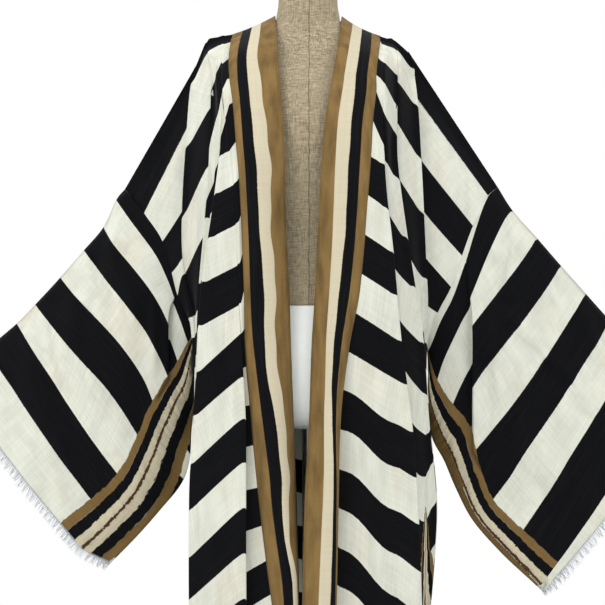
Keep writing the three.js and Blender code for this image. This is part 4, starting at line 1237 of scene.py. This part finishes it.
def makeSleeve(side):
    sign = sideSign[side]
    shape = sleeve[side]
    tuck = shape["tuck"]
    grid, clothMap, borderMap = [], [], []
    for i in range(sleeveFall["rows"] + 1):
        hoop = sleeveFall["hoops"] * i / sleeveFall["rows"]
        h = readTable(sleeveHoops[side], "k", hoop)
        fade = ease(1 - hoop / sleeveFall["leave"])
        across = math.hypot(h["topX"] - h["seamX"], h["topZ"] - h["seamZ"])
        below = math.hypot(h["lowX"] - h["seamX"], h["lowZ"] - h["seamZ"])
        frontWide = readTable(shape["frontBorder"], "h", hoop)["w"]
        backWide = readTable(shape["backBorder"], "h", hoop)["w"]
        points, weave, border = [], [], []
        for q, front, folded in ringStops(side, hoop):
            x, y, z = sleevePoint(side, hoop, q, front, folded)
            start = sleevePoint(side, 0, q, front, folded)
            own = onArmhole(side, q, front)
            flatX = x
            x += (own[0] - start[0]) * fade
            y += (own[1] - start[1]) * fade
            z += (own[2] - start[2]) * fade
            away = (1 - q) * across  # from the seam, round the sleeve
            slip = 0
            if front:
                near = math.exp(-abs(flatX - tuck["x"]) / sleeveFall["tuckReach"])
                slip = shape["shift"] * tuckGrown(tuck, z) * near * mix(1, -1, folded)
            else:
                slip = -shape["backShift"] * min(1, q / shape["lowAt"]) * ease(hoop)
                wrap = clamp01((q - shape["lowAt"]) / (1 - shape["lowAt"]))
                away = (1 - wrap) * below + (1 - min(1, q / shape["lowAt"])) * across
            b = 1 - away / (frontWide if front else backWide)
            if not front and side == "left" and 0 < b < 0.9:
                b = sleeveFall["wrapGold"]  # plain gold wraps round to the back there
            creases = sleeveCreases[side] if front else backSleeveCreases
            loose = ease(hoop / 0.6) * ease((1 - q) * 6 + 0.2)
            lift = sleeveFall["creaseGain"] * creaseHeight(creases, x, z)
            lift += flutter(x, y, z, sleeveFall["flutter"], sleeveFall["flutterRun"])
            gather = math.sin(hoop * 31 + 2.2 * math.sin(hoop * 9))
            gather += 0.6 * math.sin(hoop * 53 + away / 5)
            drawn = math.exp(-(away / sleeveFall["puckerReach"]) ** 2) * ease(hoop * 2)
            pucker = shape["pucker"] * gather * drawn
            y += (-lift if front else lift) * loose * ease(q * 8 + 0.1) - pucker
            bow = readTable(shape["bow"], "h", hoop)["b"] * math.sin(math.pi * clamp01(q) ** 1.5)
            h0 = hoop + slip + (bow if front else 0) - shape["cuffDraw"] * ease(hoop - 6)
            if shape["seamStrip"] and hoop < sleeveFall["ruffHoops"]:
                ruff = shape["seamStrip"] * ease(q * 2.2) * ease((1 - q) * 4 + 0.4)
                h0 = hoop - ruff * ease(1 - hoop / sleeveFall["ruffHoops"])
            points.append((x * sign, y, z))
            along = (h0 * cloth["stripe"] - cloth["firstStripe"]) * mm
            weave.append((away * mm * (1 if front else -1), along))
            limit = (shape["borderEnds"] * cloth["stripe"] - cloth["firstStripe"]) * mm
            border.append((max(-1, b), limit))
        grid.append(points)
        clothMap.append(weave)
        borderMap.append(border)
    maps = {"cloth": clothMap, "border": borderMap}
    return gridObject(f"sleeve_{side}_cloth", grid, maps, looks["striped_voile"]), grid


fringe = {
    "length": 15.5, "shortest": 0.72, "longest": 1.12, "spacing": 1.35,
    "radius": 0.6,  # thicker than one yarn, so that the ends show
    "taper": 0.55, "droop": 2.5, "segments": 4,
    "root": 3,  # how far each end starts inside the cuff
}


# Loose yarn ends along the cuff: thin three-sided strands that bend, cross and hang in small clumps.
def makeFringe(side, cuff, before):
    points, faces = [], []
    clump = 0
    for j in range(len(cuff) - 1):
        a, b = Vector(cuff[j]), Vector(cuff[j + 1])
        way = (a - Vector(before[j])).normalized()
        across = (b - a)
        count = max(1, round(across.length / fringe["spacing"]))
        for k in range(count):
            clump += random.uniform(0.3, 0.9)
            lean = 0.35 * math.sin(clump) + random.uniform(-0.22, 0.22)
            length = fringe["length"] * random.uniform(fringe["shortest"], fringe["longest"])
            root = a.lerp(b, (k + random.random()) / count) - way * fringe["root"]
            side1 = across.normalized()
            side2 = way.cross(side1)
            out = random.uniform(-0.25, 0.25)
            first = len(points)
            for s in range(fringe["segments"] + 1):
                w = s / fringe["segments"]
                centre = root + way * (length + fringe["root"]) * w
                centre += side1 * lean * length * w * w + side2 * out * length * w * w
                centre.z -= fringe["droop"] * w * w
                radius = fringe["radius"] * (1 - fringe["taper"] * w)
                for c in range(3):
                    angle = c * 2 * math.pi / 3
                    p = centre + side1 * radius * math.cos(angle) + side2 * radius * math.sin(angle)
                    points.append(p)
            for s in range(fringe["segments"]):
                for c in range(3):
                    p, q = first + s * 3 + c, first + s * 3 + (c + 1) % 3
                    faces.append((p, q, q + 3, p + 3))
            faces.append((first + 2, first + 1, first))
            top = first + fringe["segments"] * 3
            faces.append((top, top + 1, top + 2))
    return meshObject(f"cuffFringe_{side}", points, faces, looks["fringe_yarn"])


for side in sides:
    clothPiece, grid = makeSleeve(side)
    yarn = makeFringe(side, grid[-1], grid[-3])
    standFor(clothPiece, f"sleeve_{side}")
    standFor(yarn, f"fringe_{side}")
print("sleeves and fringes made")


# The dress form: half its width, and how far it reaches to the front and to the back.
sectionNames = "z half front back"
torso = table(
    sectionNames,
    (1612, 53, 52, 54), (1605, 57, 56, 58), (1575, 57.3, 56, 58), (1556, 58.5, 56, 58),
    (1543, 61, 56, 59), (1528, 64, 55, 60), (1508, 85.5, 56, 62.5), (1489, 125.5, 59, 68),
    (1468, 156, 66, 76), (1435, 170, 80, 88), (1400, 170, 99, 97), (1320, 160, 112, 94),
    (1220, 146, 104, 87), (1110, 130, 90, 82), (1030, 140, 94, 94), (978, 152, 97, 102),
)
hip = table(
    sectionNames,
    (977.4, 151, 96.5, 101.5), (900, 162, 100, 110), (810, 160, 99, 108), (768, 148, 92, 99),
    (750, 128, 78, 84), (742, 96, 56, 62),
)


form = {"torsoRows": 150, "torsoAround": 240, "linenJoin": 0.9, "hipRows": 60, "hipAround": 160}
stand = {
    "capRadius": 50, "capLow": 1612.3, "capHeight": 14, "capEdge": 11,
    "poleRadius": 11, "poleLow": 16.3, "poleTop": 741.6,
    "baseRadius": 190, "baseLow": 1.2, "baseHeight": 14.8, "baseEdge": 5,
}


# A closed solid from rings of points, the lowest ring first.
def ringSolid(name, rings, material):
    around = len(rings[0])
    faces = [tuple(reversed(range(around)))]
    for i in range(len(rings) - 1):
        for k in range(around):
            a, b = i * around + k, i * around + (k + 1) % around
            faces.append((a, b, b + around, a + around))
    faces.append(tuple(range((len(rings) - 1) * around, len(rings) * around)))
    return meshObject(name, [p for ring in rings for p in ring], faces, material)


# The linen is joined down the front in a low ridge beside a groove, as deep as seam says.
def stackedForm(name, sections, rows, around, material, seam=0):
    rings = []
    for i in range(rows + 1):
        z = mix(sections[-1]["z"], sections[0]["z"], i / rows)
        s = readTable(sections, "z", z)
        ring = []
        for k in range(around):
            angle = 2 * math.pi * k / around
            depth = s["front"] if math.sin(angle) < 0 else s["back"]
            x, y = s["half"] * math.cos(angle), depth * math.sin(angle)
            if seam and y < 0:
                y -= seam * (math.exp(-((x - 1.5) / 1.6) ** 2) - 0.8 * math.exp(-((x + 2) / 1.4) ** 2))
            ring.append((x, y, z))
        rings.append(ring)
    return ringSolid(name, rings, material)


# A turned piece from its radius and height points, with its corners kept crisp.
def turned(name, profile, material, around=96):
    angles = [2 * math.pi * k / around for k in range(around)]
    rings = [[(r * math.cos(a), r * math.sin(a), z) for a in angles] for r, z in profile]
    obj = ringSolid(name, rings, material)
    obj.data.set_sharp_from_angle(angle=math.radians(40))
    return obj


def roundedCap(radius, low, height, edge, steps=8):
    profile = [(radius, low)]
    for k in range(steps + 1):
        a = math.pi / 2 * k / steps
        profile.append((radius - edge + edge * math.cos(a), low + height - edge + edge * math.sin(a)))
    return profile


formTorso = stackedForm(
    "formTorso", torso, form["torsoRows"], form["torsoAround"], looks["form_linen"], form["linenJoin"],
)
formHip = stackedForm("formHip", hip, form["hipRows"], form["hipAround"], looks["form_shell"])
capProfile = roundedCap(stand["capRadius"], stand["capLow"], stand["capHeight"], stand["capEdge"])
neckCap = turned("neckCap", capProfile, looks["cap_wood"])
poleProfile = [(stand["poleRadius"], stand["poleLow"]), (stand["poleRadius"], stand["poleTop"])]
poleTube = turned("standPole", poleProfile, looks["stand_steel"], 48)
baseProfile = [(stand["baseRadius"] - 1, 0), (stand["baseRadius"], 1)]  # a fine chamfer on the floor
baseProfile += roundedCap(stand["baseRadius"], stand["baseLow"], stand["baseHeight"], stand["baseEdge"])
baseDisc = turned("standBase", baseProfile, looks["stand_steel"], 128)
for piece, node, slotName in (
    (formTorso, "form_torso", "form_linen"),
    (formHip, "form_hip", "form_shell"),
    (neckCap, "form_neck_cap", "cap_wood"),
    (poleTube, "stand_pole", "stand_steel"),
    (baseDisc, "stand_base", "stand_steel"),
):
    standFor(piece, node)
print("dress form and stand made")


# Matt white paper on the floor, smooth and even.
def makeFloor():
    look = {"Base Color": hexColour("EDEDEB"), "Roughness": 0.7}
    material, _, _ = startMaterial("whitePaperFloor", look)
    turned("floor", [(1500, -2), (1500, 0)], material)


# Large soft lamps: one high on the left, one on the right, one overhead.
def makeLights():
    for name, place, size, power in (
        ("keyLamp", (-2.4, -2.8, 2.9), 1.7, 56),
        ("fillLamp", (2.4, -2.8, 1.9), 2.2, 18),
        ("topLamp", (0.0, -0.3, 3.4), 1.6, 12),
    ):
        data = bpy.data.lights.new(name, "AREA")
        data.size = size
        data.energy = power
        lamp = bpy.data.objects.new(name, data)
        lamp.location = place
        aim = Vector((0, 0, 1.0)) - Vector(place)
        lamp.rotation_euler = aim.to_track_quat("-Z", "Y").to_euler()
        bpy.context.scene.collection.objects.link(lamp)
    world = bpy.data.worlds.new("studio")
    world.use_nodes = True
    sky = world.node_tree.nodes["Background"]
    sky.inputs["Color"].default_value = (1, 1, 1, 1)
    sky.inputs["Strength"].default_value = 1.0
    bpy.context.scene.world = world


makeFloor()
makeLights()
print("floor and lights set")
